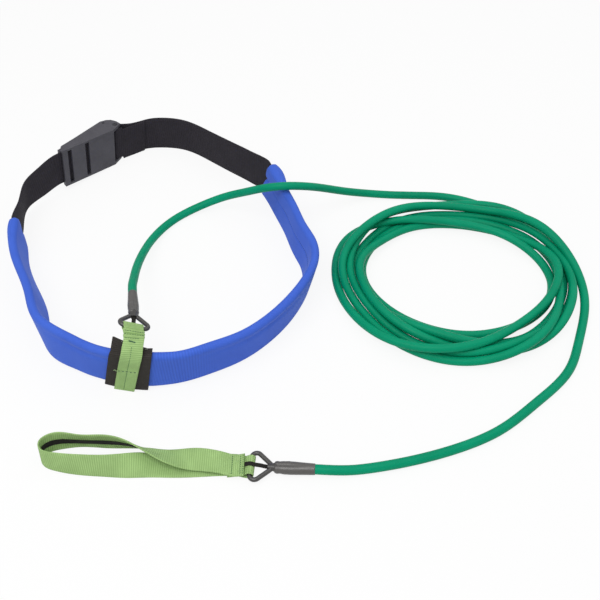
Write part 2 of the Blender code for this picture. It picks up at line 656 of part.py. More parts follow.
def slider_strap(mat):
    """Up the sleeve's face, over the fin, round the ring's bar and back under itself."""
    out = PAD_HALF_THICK + SLIDE_GAP + SLIDER_WALL + GAP + STRAP_THICK / 2.0
    top = 2.0 * FRONT_MID
    over = [(out + x, top + z) for x, z in STRAP_OVER_FIN]
    face = [(out, height) for height in np.linspace(FLOOR_GAP, over[0][1], 4, endpoint=False)]
    line = []
    for distance, height in face + over:
        angle = skewed_angle(height, SLIDER_BEARING)
        left = (math.sin(angle), -math.cos(angle), 0.0)
        line.append([*front_point(distance, height, SLIDER_BEARING), *left])
    at_ring = frame_matrix(ring_1_at(), RING_1_TURN)
    bar = at_ring.to_3x3() @ Vector((0.0, 1.0, 0.0))
    wrap = arc((0.0, 0.0), WRAP_RADIUS, 100.0, -105.0, 7)
    for x, z in [*STRAP_TO_RING, *wrap, *STRAP_FROM_RING]:
        line.append([*(at_ring @ Vector((x, 0.0, z))), *bar])
    stations = smooth_curve(line, 0.006)
    along = lengths_along(stations)
    narrowing = np.clip((along - over[1][1]) / STRAP_NARROWING, 0.0, 1.0)
    widths = SLIDER_STRAP_WIDTH + (STRAP_RING_WIDTH - SLIDER_STRAP_WIDTH) * narrowing
    frames = strap_frames(stations, square=False)
    return add_object("slider_strap", finish_mesh(ribbon(frames, widths, STRAP_THICK)), mat)


# Rings and tube ends


def ring(name, home, mat):
    """A rounded triangle of wire whose apex runs into a barbed neck for the tube."""
    corners = [(0.0, -RING_HALF_BAR), (0.0, RING_HALF_BAR), (RING_APEX, 0.0)]
    path = []
    for i, corner in enumerate(corners):
        here = Vector(corner)
        before = (Vector(corners[i - 1]) - here).normalized()
        after = (Vector(corners[(i + 1) % 3]) - here).normalized()
        half = before.angle(after) / 2.0
        middle = (before + after).normalized()
        centre = here + middle * RING_CORNER / math.sin(half)
        start = here + before * RING_CORNER / math.tan(half) - centre
        end = here + after * RING_CORNER / math.tan(half) - centre
        sweep = start.angle_signed(end)
        for k in range(6):
            turn = Matrix.Rotation(-sweep * k / 5.0, 2)
            path.append(centre + turn @ start)
    rings = []
    for i, point in enumerate(path):
        ahead = (path[(i + 1) % len(path)] - path[i - 1]).normalized()
        frame = (np.array([point.x, point.y, 0.0]), np.array([ahead.y, -ahead.x, 0.0]),
                 np.array([0.0, 0.0, 1.0]))
        rings.append(round_section(frame, RING_WIRE / 2.0, 8))
    obj = add_object(name, finish_mesh(loft(rings, closed=True)), mat, home)
    neck = [(NECK_START, NECK_RADIUS * 0.7), (NECK_START + NECK_CHAMFER, NECK_RADIUS),
            (NECK_END, NECK_RADIUS), (NECK_END + GAP, TUBE_BORE_RADIUS * 0.7)]
    pitch = (BARB_END - NECK_END) / BARBS
    for k in range(BARBS):
        start = NECK_END + pitch * k
        neck.append((start + pitch * 0.3, TUBE_BORE_RADIUS - GAP))
        neck.append((start + pitch * 0.95, TUBE_BORE_RADIUS * 0.6))
    join(obj, rod(neck, 12), "UNION", f"{name}_neck")
    return obj


def sleeve(name, home, mat):
    inner = TUBE_IN_SLEEVE_RADIUS + GAP
    profile = [(SLEEVE_START, NECK_RADIUS + GAP)]
    profile += [(SLEEVE_START + x, r) for x, r in SLEEVE_BULGE]
    profile += [(SLEEVE_END - SLEEVE_TAPER, inner + SLEEVE_WALL + GAP),
                (SLEEVE_END, inner + SLEEVE_WALL - GAP), (SLEEVE_END, inner),
                (NECK_END + TUBE_IN_SLEEVE_RADIUS - NECK_RADIUS, inner), (NECK_END, NECK_RADIUS + GAP)]
    return add_object(name, finish_mesh(turned(profile)), mat, home)


def tube_end(name, home, mat):
    """The last stretch of the elastic tube, squeezed inside the sleeve, over the barbs."""
    start, end = NECK_END + NECK_CHAMFER, SLEEVE_END
    profile = [(start, TUBE_BORE_RADIUS), (start, TUBE_IN_SLEEVE_RADIUS),
               (end, TUBE_IN_SLEEVE_RADIUS), (end, TUBE_BORE_RADIUS)]
    return add_object(name, finish_mesh(turned(profile, 16)), mat, home)


def strand(name, ring_at, ring_turn, points, mat):
    """A flat safety strand from between the ring's legs to the strap, in the ring's plane."""
    matrix = frame_matrix(ring_at, ring_turn)
    bar = matrix.to_3x3() @ Vector((0.0, 1.0, 0.0))
    line = [[*(matrix @ Vector((x, 0.0, z))), *bar] for x, z in points]
    frames = strap_frames(smooth_curve(line, 0.004))
    return add_object(name, finish_mesh(ribbon(frames, STRAND_WIDTH, STRAND_THICK)), mat)


# The hand loop


def hand_loop(strap_mat, tape_mat):
    line = []
    for lower, upper in HAND_LOOP_ROUTE:
        low, high = [Vector((x, y, z + LOOP_FLOOR_GAP)) for x, y, z in (lower, upper)]
        line.append([*((low + high) / 2.0), *(high - low).normalized()])
    matrix = frame_matrix(RING_2_AT, RING_2_TURN)
    bar = matrix.to_3x3() @ Vector((0.0, 1.0, 0.0))
    wrap = arc((0.0, 0.0), WRAP_RADIUS, -90.0, 128.0, 8)
    for x, z in [*wrap, *LOOP_FROM_RING]:
        line.append([*(matrix @ Vector((x, 0.0, z))), *bar])
    stations = smooth_curve(line, 0.009)
    along = lengths_along(stations)
    left = along[-1] - along
    narrow = np.clip((LOOP_NARROW_START - left) / LOOP_NARROWING, 0.0, 1.0)
    narrow = narrow * np.clip(left / LOOP_WIDENING, 0.0, 1.0)
    widths = STRAP_WIDTH + (STRAP_RING_WIDTH - STRAP_WIDTH) * narrow
    frames = strap_frames(stations)
    strap = ribbon(frames, widths, STRAP_THICK, stripe=TAPE_WIDTH)
    add_object("hand_loop", finish_mesh(strap), strap_mat)
    last = nearest(stations, np.mean(HAND_LOOP_ROUTE[HAND_TAPE_LAST], axis=0))
    offset = -(STRAP_THICK / 2.0 + GAP + TAPE_THICK / 2.0)
    tape = ribbon(frames[:last + 1], TAPE_WIDTH, TAPE_THICK, offset)
    add_object("hand_loop_tape", finish_mesh(tape), tape_mat)


# The free tube


def free_tube(name, points, mat):
    curve = bpy.data.curves.new(name, "CURVE")
    curve.dimensions = "3D"
    curve.bevel_depth = TUBE_RADIUS
    curve.bevel_resolution = 2
    curve.use_fill_caps = True
    spline = curve.splines.new("POLY")
    spline.points.add(len(points) - 1)
    for target, point in zip(spline.points, points):
        target.co = (*point, 1.0)
    curve.materials.append(mat)
    obj = bpy.data.objects.new(name, curve)
    place(obj, None)
    return obj


def tube_exit(ring_at, ring_turn):
    """Two points straight out of a sleeve, the first one a gap away from it."""
    matrix = frame_matrix(ring_at, ring_turn)
    return [list(matrix @ Vector((SLEEVE_END + x, 0.0, 0.0))) for x in (GAP, TUBE_STRAIGHT)]


def coil(mat):
    rings = []
    steps = 48
    for k in range(steps):
        angle = 2.0 * math.pi * k / steps
        direction = (math.cos(angle), math.sin(angle))
        outer = np.array([COIL_CENTRE[i] + COIL_OUTER[i] * direction[i] for i in (0, 1)])
        inner = np.array([COIL_CENTRE[i] + COIL_INNER[i] * direction[i] for i in (0, 1)])
        inward = (inner - outer) / np.linalg.norm(inner - outer)
        r = COIL_ROUNDING
        corners = [(outer, r), (outer, COIL_HEIGHT - r), (outer + r * inward, COIL_HEIGHT),
                   (inner - r * inward, COIL_HEIGHT), (inner, COIL_HEIGHT - r), (inner, r),
                   (inner - r * inward, GAP), (outer + r * inward, GAP)]
        rings.append([(xy[0], xy[1], z) for xy, z in corners])
    return add_object("cord_coil", finish_mesh(loft(rings, closed=True), 60.0), mat)


def build():
    for obj in list(bpy.data.objects):
        bpy.data.objects.remove(obj, do_unlink=True)
    black_webbing = material("black_webbing", (0.030, 0.028, 0.032), 0.85)
    blue_cloth = material("blue_cloth", (0.045, 0.105, 0.560), 0.75)
    grey_foam = material("grey_foam", (0.250, 0.250, 0.260), 0.90)
    black_plastic = material("black_plastic", (0.065, 0.065, 0.075), 0.45)
    steel = material("steel", (0.450, 0.450, 0.460), 0.35, 1.0)
    slider_webbing = material("slider_webbing", (0.035, 0.028, 0.027), 0.85)
    green_webbing = material("green_webbing", (0.290, 0.500, 0.140), 0.80)
    black_rubber = material("black_rubber", (0.060, 0.056, 0.050), 0.50)
    green_tube = material("green_tube", (0.000, 0.280, 0.150), 0.40)

    stations = belt_line()
    frames = strap_frames(stations)
    along = lengths_along(stations)
    pad = (nearest(stations, PAD_RIGHT_END), nearest(stations, PAD_LEFT_END))
    belt_webbing(frames, along, pad, black_webbing)
    pad_cover(frames, along, pad, blue_cloth)
    pad_foam(frames, along, pad, grey_foam)

    buckle = frame_empty("buckle", BUCKLE_ORIGIN, BUCKLE_TURN)
    buckle_frame(buckle, black_plastic)
    pin_inset = GAP
    add_object("lever_pin", finish_mesh(upright_cylinder(LEVER_PIN_AT, LEVER_PIN_RADIUS, pin_inset,
                                                         BUCKLE_HEIGHT - pin_inset)), steel, buckle)
    add_object("webbing_bar", finish_mesh(upright_cylinder(BAR_AT, BAR_RADIUS, pin_inset,
                                                           BUCKLE_HEIGHT - pin_inset)), steel, buckle)
    at_pin = frame_matrix(BUCKLE_ORIGIN, BUCKLE_TURN) @ Vector((*LEVER_PIN_AT, 0.0))
    lever_home = frame_empty("lever_axis", at_pin, BUCKLE_TURN)
    buckle_lever(lever_home, black_plastic)

    slider_loop(slider_webbing)
    slider_strap(green_webbing)

    for number, at, turn in ((1, ring_1_at(), RING_1_TURN), (2, RING_2_AT, RING_2_TURN)):
        home = frame_empty(f"ring_{number}_axis", at, turn)
        ring(f"ring_{number}", home, black_rubber)
        sleeve(f"sleeve_{number}", home, black_rubber)
        tube_end(f"tube_end_{number}", home, green_tube)
    hand_loop(green_webbing, black_webbing)
    under = WRAP_RADIUS + STRAP_THICK / 2.0 + GAP + STRAND_THICK / 2.0
    below = [*STRAND_1_START, *arc((0.0, 0.0), under, -35.0, -85.0, 3)]
    strand("safety_strand_1", ring_1_at(), RING_1_TURN, below, black_webbing)
    above = [*STRAND_2_START, *arc((0.0, 0.0), under, 52.0, 95.0, 3), STRAND_2_END]
    strand("safety_strand_2", RING_2_AT, RING_2_TURN, above, black_webbing)

    lead = smooth_curve(tube_exit(ring_1_at(), RING_1_TURN) + [list(p) for p in LEAD_ROUTE], 0.014)
    tail = smooth_curve([list(p) for p in TAIL_ROUTE] + tube_exit(RING_2_AT, RING_2_TURN)[::-1], 0.018)
    free_tube("cord_lead", lead, green_tube)
    free_tube("cord_tail", tail, green_tube)
    coil(green_tube)


build()
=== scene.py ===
"""Looks of the swim resistance belt: webbing, pad, buckle, slider, rings, tube and hand loop.

Lengths are in metres and angles in degrees, unless a comment says otherwise. Places are in the
drawing frame of the part, and mesh_object moves them to the object's origin.
"""
import math

import bpy
import numpy as np
from mathutils import Matrix, Vector


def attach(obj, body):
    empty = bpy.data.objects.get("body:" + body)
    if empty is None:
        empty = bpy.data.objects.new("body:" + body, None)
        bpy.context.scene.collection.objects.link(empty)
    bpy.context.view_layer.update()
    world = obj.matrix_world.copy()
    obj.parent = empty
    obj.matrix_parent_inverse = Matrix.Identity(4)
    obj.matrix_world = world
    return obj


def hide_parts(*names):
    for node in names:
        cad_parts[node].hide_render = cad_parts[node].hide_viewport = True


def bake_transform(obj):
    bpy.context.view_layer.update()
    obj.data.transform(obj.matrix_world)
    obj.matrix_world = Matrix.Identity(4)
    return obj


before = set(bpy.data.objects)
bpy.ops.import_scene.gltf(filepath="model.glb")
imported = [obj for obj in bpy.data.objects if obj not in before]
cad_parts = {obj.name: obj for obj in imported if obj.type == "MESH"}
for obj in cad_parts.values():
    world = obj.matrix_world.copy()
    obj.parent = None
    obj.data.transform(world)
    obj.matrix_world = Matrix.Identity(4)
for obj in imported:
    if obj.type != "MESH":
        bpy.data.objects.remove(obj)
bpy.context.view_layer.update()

# From the drawing frame to the object's origin
DRAWING_CENTRE = np.array([-0.0013, -0.0017, 0.0])

# Camera
CAMERA_AT = (0.1680, -0.6416, 0.6815)
CAMERA_PITCH = 42.0
CAMERA_LENS = 46.68

# Belt: heights are those of the middle of its width
WEBBING_WIDTH = 0.050
WEBBING_THICK = 0.0018
FOAM_THICK = 0.0040
GAP = 0.0003
PAD_HALF_THICK = 0.00435
PAD_SOFT_THICK = 0.0050
PAD_HALF_HEIGHT = 0.0264
SLIDE_GAP = 0.0005
SLIDER_WALL = 0.0020
FRONT_MID = PAD_HALF_HEIGHT + SLIDER_WALL + SLIDE_GAP
SIDE_MID = PAD_HALF_HEIGHT + 0.0008
FRONT_CENTRE = (0.0115, 0.0137)
FRONT_RADIUS = 0.1650
FRONT_HALF_ANGLE = 20.0
FRONT_STATIONS = (0, 3, 8, 11)
FRONT_LEANS = (5.0, 0.0, 0.0, -3.0)
WEBBING_IN_PAD = -(FOAM_THICK + GAP) / 2.0
PAD_RIGHT_END = (0.1220, 0.1670)
PAD_LEFT_END = (-0.1780, 0.0620)

# Buckle, and the webbing's ways through it, in the buckle's own frame
BUCKLE_ORIGIN = (-0.1453, 0.1693, 0.0079)
BUCKLE_TURN = (5.9, 5.0, 45.4)
BUCKLE_HEIGHT = 0.059
FOLD_BACK_ROUTE = ((0.0410, -0.0115), (0.0300, -0.0096), (0.0200, -0.0074), (0.0100, -0.0055))
BAR_EXIT_ROUTE = ((0.0072, 0.0031), (0.0130, 0.0), (0.0190, -0.0035), (0.0300, -0.0071),
                  (0.0410, -0.0091))
CHANNEL_ROUTE = (-0.006, 0.004, 0.030, 0.056, 0.078)
BAR_AT = (0.0880, 0.0088)
BAR_WRAP_RADIUS = 0.0042
BAR_WRAP = (270.0, 76.0)
CHANNEL_LINE = 0.0049

# Slider and its strap; the strap's way is given from the sleeve's top edge or the ring's bar
SLIDER_BEARING = 260.1
SLIDER_WIDTH = 0.046
SLIDER_SKEW = 4.6
SLIDER_TAPER = 0.07
SLIDER_FLARE = 0.0012
FIN_LEFT = 0.0130
FIN_RIGHT = 0.0026
FIN_LEAN = 45.0
FIN_THICK = 0.0036
FIN_ROOT = 0.0025
FLOOR_GAP = 0.0008
STRAP_WIDTH = 0.0245
STRAP_THICK = 0.0015
STRAP_RING_WIDTH = 0.0210
SLIDER_STRAP_WIDTH = 0.0226
STRAP_BEARING = 259.7
STRAP_SKEW = 5.35
STRAP_DRIFT = (0.1, 0.35, 0.6, 0.8)
STRAP_ON_BAR = 0.0017
STRAP_NARROWING = 0.020
STRAP_OVER_FIN = ((0.0, -0.0035), (-0.0022, 0.0030), (-0.0068, 0.0082), (-0.0124, 0.0118))
STRAP_TO_RING = ((-0.0090, 0.0034),)
STRAP_FROM_RING = ((-0.0060, -0.0010), (-0.0115, 0.0004))
STRAP_WRAP = (100.0, -105.0)

# Rings: each lies in its own frame, with its bar across and its neck ahead
RING_WIRE = 0.0048
RING_HALF_BAR = 0.0210
RING_APEX = 0.0232
RING_CORNER = 0.0050
SLEEVE_END = 0.0665
RING_1_AT = (-0.00285, -0.1255, 0.0666)
RING_1_TURN = (25.3, 13.1, 102.0)
RING_2_AT = (0.1195, -0.2520, 0.0056)
RING_2_TURN = (0.0, -2.0, -4.5)
WRAP_RADIUS = RING_WIRE / 2.0 + GAP + STRAP_THICK / 2.0

# Tube, tape and strands
TUBE_RADIUS = 0.0050
TUBE_ON_FLOOR = 0.0053
TAPE_WIDTH = 0.0065
TAPE_THICK = 0.0007
STRAND_WIDTH = 0.0045
STRAND_THICK = 0.0010

# The belt's way round: place, height, and how far its top leans outwards
RIGHT_BACK_ROUTE = ((-0.0180, 0.2650, 0.0256, 1), (0.0050, 0.2600, 0.0256, 2),
                    (0.0400, 0.2370, 0.0259, 3), (0.0760, 0.2080, 0.0265, 4),
                    (0.1150, 0.1750, SIDE_MID, 6), (0.1333, 0.1505, SIDE_MID, 10))
RIGHT_ROUTE = ((0.1437, 0.1186, SIDE_MID, 9), (0.1566, 0.0824, SIDE_MID, 9),
               (0.1683, 0.0456, SIDE_MID, 10), (0.1777, 0.0220, SIDE_MID, 12),
               (0.1804, -0.0044, SIDE_MID, 13), (0.1722, -0.0343, SIDE_MID, 12),
               (0.1536, -0.0686, SIDE_MID, 10), (0.1282, -0.0996, SIDE_MID, 9),
               (0.1026, -0.1204, SIDE_MID, 8), (0.0724, -0.1360, SIDE_MID + 0.0007, 6))
LEFT_ROUTE = ((-0.0983, -0.1128, SIDE_MID + 0.0011, -4), (-0.1140, -0.0950, SIDE_MID + 0.0005, 3),
              (-0.1292, -0.0575, SIDE_MID, 9), (-0.1564, -0.0054, SIDE_MID, 8),
              (-0.1727, 0.0376, 0.0275, 3), (-0.1782, 0.0640, 0.0275, -3),
              (-0.1826, 0.0985, 0.0285, -12), (-0.1821, 0.1246, 0.0310, -13),
              (-0.1668, 0.1474, 0.0345, -9))

# The hand loop's way round from its sewn end: its lower edge and its upper edge
HAND_LOOP_ROUTE = (
    ((0.1135, -0.2405, 0.0088), (0.1135, -0.2640, 0.0088)),
    ((0.1040, -0.2398, 0.0060), (0.1040, -0.2640, 0.0060)),
    ((0.0940, -0.2374, 0.0056), (0.0940, -0.2610, 0.0054)),
    ((0.0800, -0.2340, 0.0064), (0.0800, -0.2582, 0.0046)),
    ((0.0660, -0.2325, 0.0066), (0.0660, -0.2568, 0.0044)),
    ((0.0460, -0.2328, 0.0034), (0.0480, -0.2550, 0.0095)),
    ((0.0330, -0.2325, 0.0022), (0.0340, -0.2515, 0.0142)),
    ((0.0220, -0.2310, 0.0016), (0.0230, -0.2465, 0.0168)),
    ((0.0040, -0.2290, 0.0006), (-0.0010, -0.2355, 0.0240)),
    ((-0.0240, -0.2288, 0.0004), (-0.0265, -0.2286, 0.0248)),
    ((-0.0510, -0.2275, 0.0004), (-0.0500, -0.2287, 0.0256)),
    ((-0.0710, -0.2305, 0.0004), (-0.0695, -0.2255, 0.0254)),
    ((-0.0823, -0.2340, 0.0004), (-0.0803, -0.2275, 0.0243)),
    ((-0.0882, -0.2410, 0.0004), (-0.0872, -0.2345, 0.0241)),
    ((-0.0848, -0.2487, 0.0004), (-0.0853, -0.2427, 0.0242)),
    ((-0.0732, -0.2542, 0.0004), (-0.0750, -0.2472, 0.0236)),
    ((-0.0450, -0.2594, 0.0005), (-0.0470, -0.2493, 0.0225)),
    ((-0.0200, -0.2608, 0.0005), (-0.0200, -0.2490, 0.0206)),
    ((-0.0040, -0.2615, 0.0006), (-0.0040, -0.2455, 0.0166)),
    ((0.0110, -0.2620, 0.0007), (0.0110, -0.2405, 0.0110)),
    ((0.0240, -0.2622, 0.0008), (0.0240, -0.2380, 0.0048)),
    ((0.0400, -0.2624, 0.0008), (0.0400, -0.2379, 0.0012)),
    ((0.0700, -0.2616, 0.0008), (0.0700, -0.2371, 0.0008)),
    ((0.1000, -0.2602, 0.0008), (0.1000, -0.2361, 0.0008)),
    ((0.1100, -0.2612, 0.0012), (0.1100, -0.2376, 0.0012)),
)
HAND_TAPE_LAST = 13
LOOP_FLOOR_GAP = 0.0003
LOOP_WRAP = (-90.0, 128.0)
LOOP_FROM_RING = ((-0.0062, 0.0002), (-0.0130, -0.0026), (-0.0220, -0.0030))
LOOP_NARROW_START = 0.042
LOOP_NARROWING = 0.016
LOOP_WIDENING = 0.010

# The tube's ways from the first ring to the coil, and from the coil to the second ring
LEAD_ROUTE = (
    (-0.0200, -0.0386, 0.0440), (-0.0223, -0.0088, 0.0335), (-0.0213, 0.0291, 0.0215),
    (-0.0133, 0.0720, 0.0098), (0.0066, 0.1070, 0.0056), (0.0376, 0.1280, 0.0095),
    (0.0714, 0.1309, 0.0232), (0.0994, 0.1199, 0.0405), (0.1244, 0.1089, 0.0560),
    (0.1474, 0.1059, 0.0616), (0.1684, 0.1109, 0.0575), (0.1934, 0.1250, 0.0432),
    (0.2274, 0.1428, 0.0222), (0.2610, 0.1545, 0.0085), (0.2900, 0.1554, 0.0053),
    (0.3160, 0.1538, 0.0053))
TAIL_ROUTE = (
    (0.4952, -0.0505, 0.0053), (0.4850, -0.0790, 0.0053),
    (0.4598, -0.1338, 0.0053), (0.4162, -0.1763, 0.0053), (0.3704, -0.2113, 0.0053),
    (0.3374, -0.2274, 0.0053), (0.3062, -0.2384, 0.0053), (0.2762, -0.2467, 0.0055),
    (0.2462, -0.2531, 0.0059), (0.2172, -0.2572, 0.0066))

# The coil: for each turn, its radius in millimetres and its layer at every 30 degrees
COIL_CENTRE = (0.3550, 0.0130)
COIL_FLATNESS = 0.90
COIL_START = 90.0
COIL_STEP = 30.0
COIL_TURNS = (
    ((155, 139, 138, 138, 138, 139, 144, 133, 126, 127, 125, 125), (0, 0, 0, 0, 0, 0, 0, 0, 1, 1, 1, 1)),
    ((128, 138, 134, 130, 130, 134, 131, 119, 115, 122, 116, 115), (1, 1, 1, 0, 0, 0, 1, 1, 0, 0, 0, 0)),
    ((107, 119, 124, 135, 140, 143, 133, 128, 121, 116, 102, 100), (0, 0, 1, 1, 1, 0, 0, 1, 1, 1, 0, 0)),
    ((99, 98, 109, 120, 117, 118, 141, 153, 147, 144, 141, 105), (0, 0, 0, 1, 1, 1, 2, 2, 1, 0, 0, 1)),
    ((88, 90, 97, 113, 116, 112, 110, 109, 114, 114, 108, 106), (1, 1, 1, 0, 0, 0, 0, 0, 0, 0, 0, 0)),
    ((105, 109, 119, 121, 128, 147, 151, 147, 134, 137, 123, 119), (0, 0, 0, 0, 0, 1, 1, 1, 0, 1, 2, 2)),
    ((120, 122, 122, 138), (1, 1, 2, 0)),
)
LAYER_HEIGHT = 0.0095
COIL_REACH = 0.190
COIL_REACH_FADE = 0.03
SETTLE_SPACING = 0.0055
SETTLE_ROUNDS = 110
SETTLE_SINKING_ROUNDS = 77
SETTLE_NEIGHBOURS = 5
SETTLE_STIFFNESS = 60.0
SETTLE_ROOM = 1.03
SETTLE_PUSH = 1.3
SETTLE_SIDEWAYS = 0.35
SETTLE_HOLD = 0.06
SETTLE_SINK = 0.00015
TUBE_SPACING = 0.0035
TUBE_STRAIGHT = 0.0080

# The length of the tube's first stretch, which is made as a piece apart from the rest
FIRST_STRETCH = 0.060

# Ribs of the weaves: their pitches and depths
BLACK_RIB = 0.0030
GREEN_RIB = 0.00215
TAPE_RIB = 0.0016
RIB_DEPTH = 0.00012
BLACK_RIB_DEPTH = 0.00010
STRAP_RIB_DEPTH = 0.00007
TAPE_RIB_DEPTH = 0.00005

# Webbing: its folded tail, and what the pad hides of it
FOLD_TAIL = 0.018
FOLD_RIDGE = 0.0019
FOLD_RIDGE_PITCH = 0.0046
FOLD_RIDGE_FADE = 0.008
FOLD_DROP = (0.0045, 0.0075)
FOLD_DROP_REACH = 0.022
FOLD_HANGS_TO = 0.0345
FOLD_HANG_FADE = 0.003
WEBBING_FLOOR_GAP = 0.0004
BEND_INTO_PAD = 0.030
HIDDEN_NARROWING = 0.008
HIDDEN_FADE = 0.010
HIDDEN_AFTER = 0.02
HIDDEN_STRIDE = 16

# Pad: its creases, its ripples and its seam's end are placed by lengths along the whole belt
PAD_SPACING = 0.0030
PAD_END_ROUND = 0.0045
PAD_END_THICK = 0.0016
PAD_END_NARROWING = 0.0012
PAD_EDGE = 0.0052
PAD_FACE_POINTS = 33
PAD_EDGE_POINTS = 9
PAD_WAVES = ((0.0290, 0.4), (0.0173, 1.3))
PAD_WAVE_PART = 0.03
PAD_RIGHT_PUFF = (0.024, 0.030, 0.0032)
PAD_LEFT_PUFF = (0.014, 0.018, 0.0014)
PAD_RIGHT_REACH = 0.030
PAD_LEFT_REACH = 0.024
PAD_CROWN = 0.0002
PAD_CREASE = 0.0015
PAD_CREASE_FROM_EDGE = 0.0058
PAD_CREASE_WIDTH = 0.0036
PAD_SEAM = 0.0007
PAD_SEAM_WIDTH = 0.0014
PAD_SEAM_AT = 0.0040
PAD_SEAM_START = 0.038
PAD_SEAM_END = 0.535
PAD_SEAM_FADE = 0.03
PAD_RIGHT_SHEAR = 0.0095
PAD_LOBE = 0.0032
PAD_NOTCH_AT = 0.14
PAD_NOTCH_WIDTH = 0.20
PAD_NOTCH_DENT = 0.38
PAD_NOTCH_DENT_WIDTH = 0.16
CREASES = ((0.600, 0.055), (0.800, 0.040))
RIPPLE_PITCH = 0.0029
RIPPLE_AT = 0.700
RIPPLE_REACH = 0.045

# Slider: lengths on its strap are from the lower end, and a fibre is part, up, sideways, rise
SLIDER_STEPS = 40
SLIDER_CORNER = 0.0016
FIN_SEAMS = (0.0022, 0.0050)
FIN_SEAM_MARGIN = 0.001
STRAP_BUMPS = (0.0812, 0.0846, 0.0880)
STRAP_BUMP = 0.0019
STRAP_BUMP_WIDTH = 0.0011
STRAP_BUMP_SPREAD = 0.0010
STRAP_BUMP_ROW_LIFT = 0.0004
STRAP_BELOW_BUMPS = 0.0022
STRAP_END_SEAM_AT = 0.0034
STRAP_SEAM_AT = 0.0352
STRAP_ZIGZAG = 0.0009
STRAP_ZIGZAG_POINTS = 11
STRAP_HOLE = (0.0756, 0.0013)
STRAP_KNOT = ((-0.0036, -0.0003), (-0.0018, 0.0004), (0.0002, 0.0006), (0.0020, 0.0003),
              (0.0034, -0.0003))
STRAP_LOOSE_END = ((0.0, -0.0006, 0.0), (0.0008, 0.0010, 0.0007), (0.0022, 0.0022, 0.0005),
                   (0.0018, 0.0034, 0.0012))
STRAP_RUN_SIDE = 0.0006
STRAP_RUN_START = 0.002
STRAP_RUN_TO_HOLE = 0.005
STRAP_RUN_SINK = 0.0001
FRAYING = ((0.28, 0.0095, -0.0012, 0.0016), (0.31, 0.0090, 0.0012, 0.0014),
           (0.80, 0.0040, -0.0014, 0.0016), (0.84, 0.0036, 0.0018, 0.0008),
           (0.88, 0.0034, 0.0016, 0.0014))

# How far rows of stitches reach each way across a strap, as shares of half its width
BUMP_ROW_REACH = (0.90, 0.90)
BELOW_ROW_REACH = (0.80, 0.50)
SEAM_ROW_REACH = (0.98, 0.86)
END_ROW_REACH = (0.86, 0.86)
LOOP_SEAM_REACH = (0.84, 0.84)
LOOP_END_REACH = (0.90, 0.90)

# Sleeves on the rings: the shape is distance and radius; the scale is for each ring
SLEEVE_START = 0.0236
SLEEVE_OVERLAP = -0.0030
SLEEVE_SHAPE = ((0.0, 0.0046), (0.0008, 0.0055), (0.0030, 0.0060), (0.0050, 0.0057),
                (0.0070, 0.0059), (0.0120, 0.0063), (0.0200, 0.0062), (0.0300, 0.0059),
                (0.0390, 0.0056), (0.0400, 0.0054))
SLEEVE_SCALES = (0.91, 1.0)
SLEEVE_SIDES = 40
SLEEVE_SPREAD = 0.07
SLEEVE_DENT = 0.16
SLEEVE_RIDGES = (0.012, 0.024)
SLEEVE_DENT_WIDTH = 0.30
SLEEVE_FINE = (0.010, 20)
SLEEVE_COARSE = (0.0108, 44)
SLEEVE_WRINKLES_FROM = (0.002, 0.004)
SLEEVE_WRINKLES_TO = (0.012, 0.010)
SLEEVE_WRINKLE = 0.012
SLEEVE_WRINKLE_PITCH = 0.0011
NECK_BACK = 0.0062
NECK_IN_SLEEVE = 0.002
NECK_RADII = (0.0030, 0.0048)
TIP_BACK = -0.012
TIP_OVERLAP = 0.0002

# Strands and the hand loop's seams
STRAND_1_START = ((0.0175, 0.0004), (0.0150, 0.0), (0.0095, -0.0022))
STRAND_1_WRAP = (-35.0, -85.0)
STRAND_2_START = ((0.0195, 0.0008), (0.0150, 0.0004), (0.0110, 0.0018))
STRAND_2_WRAP = (52.0, 95.0)
STRAND_2_END = ((-0.0045, 0.0034), (-0.0085, 0.0022))
LOOP_SEAMS = (0.0036, 0.0124)
LOOP_LIGHT_SHIFT = 0.0012
# The dark row sewn at the loop's cut end is thread, and also painted shade for the shadow gap at that
# end
LOOP_END_SEAM_AND_SHADE = 0.0010
THREAD_LIFT = 0.0002

# Stitches: their pitch, their thread's radius, and a scale for their length
STITCHES = {
    "pad_seam_thread": (0.0032, 0.00032, 1.0),
    "slider_fin_thread": (0.0028, 0.00026, 1.0),
    "strap_dark_thread": (0.0024, 0.00024, 1.0),
    "strap_seam_dark": (0.0046, 0.00042, 0.55),
    "strap_light_thread": (0.0024, 0.00026, 1.0),
    "loop_dark_thread_and_end_shade": (0.0024, 0.00028, 1.0),
    "loop_light_thread": (0.0024, 0.00024, 1.0),
}
STITCH_SIDES = 6
STITCH_PROFILE = ((-0.38, 0.4, -0.8), (-0.22, 0.95, 0.1), (0.0, 1.1, 0.5), (0.22, 0.95, 0.1),
                  (0.38, 0.4, -0.8))

# Single threads: the spacing of their rows, their radius and their number of sides
ZIGZAG_THREAD = (0.0006, 0.00024, 6)
KNOT_THREAD = (0.0004, 0.00060, 8)
LOOSE_THREAD = (0.0005, 0.00026, 6)
FIBRE_THREAD = (0.0006, 0.00022, 6)

# Weaves: colour, painted shade colour of the grooves, pitch of ribs, pitch of threads, depth, roughness
WEAVES = {
    "black_webbing": ((0.034, 0.030, 0.038), (0.020, 0.018, 0.022),
                      BLACK_RIB, 0.0011, 0.00022, 0.85),
    "green_webbing": ((0.445, 0.650, 0.268), (0.200, 0.355, 0.105),
                      GREEN_RIB, 0.00095, 0.00022, 0.80),
    "slider_webbing": ((0.052, 0.046, 0.042), (0.020, 0.017, 0.015),
                       0.0022, 0.0010, 0.00030, 0.85),
    "tape_webbing": ((0.022, 0.020, 0.018), (0.008, 0.007, 0.006),
                     TAPE_RIB, 0.0009, 0.00018, 0.85),
}
WORN = 0.86
FADED = 1.1

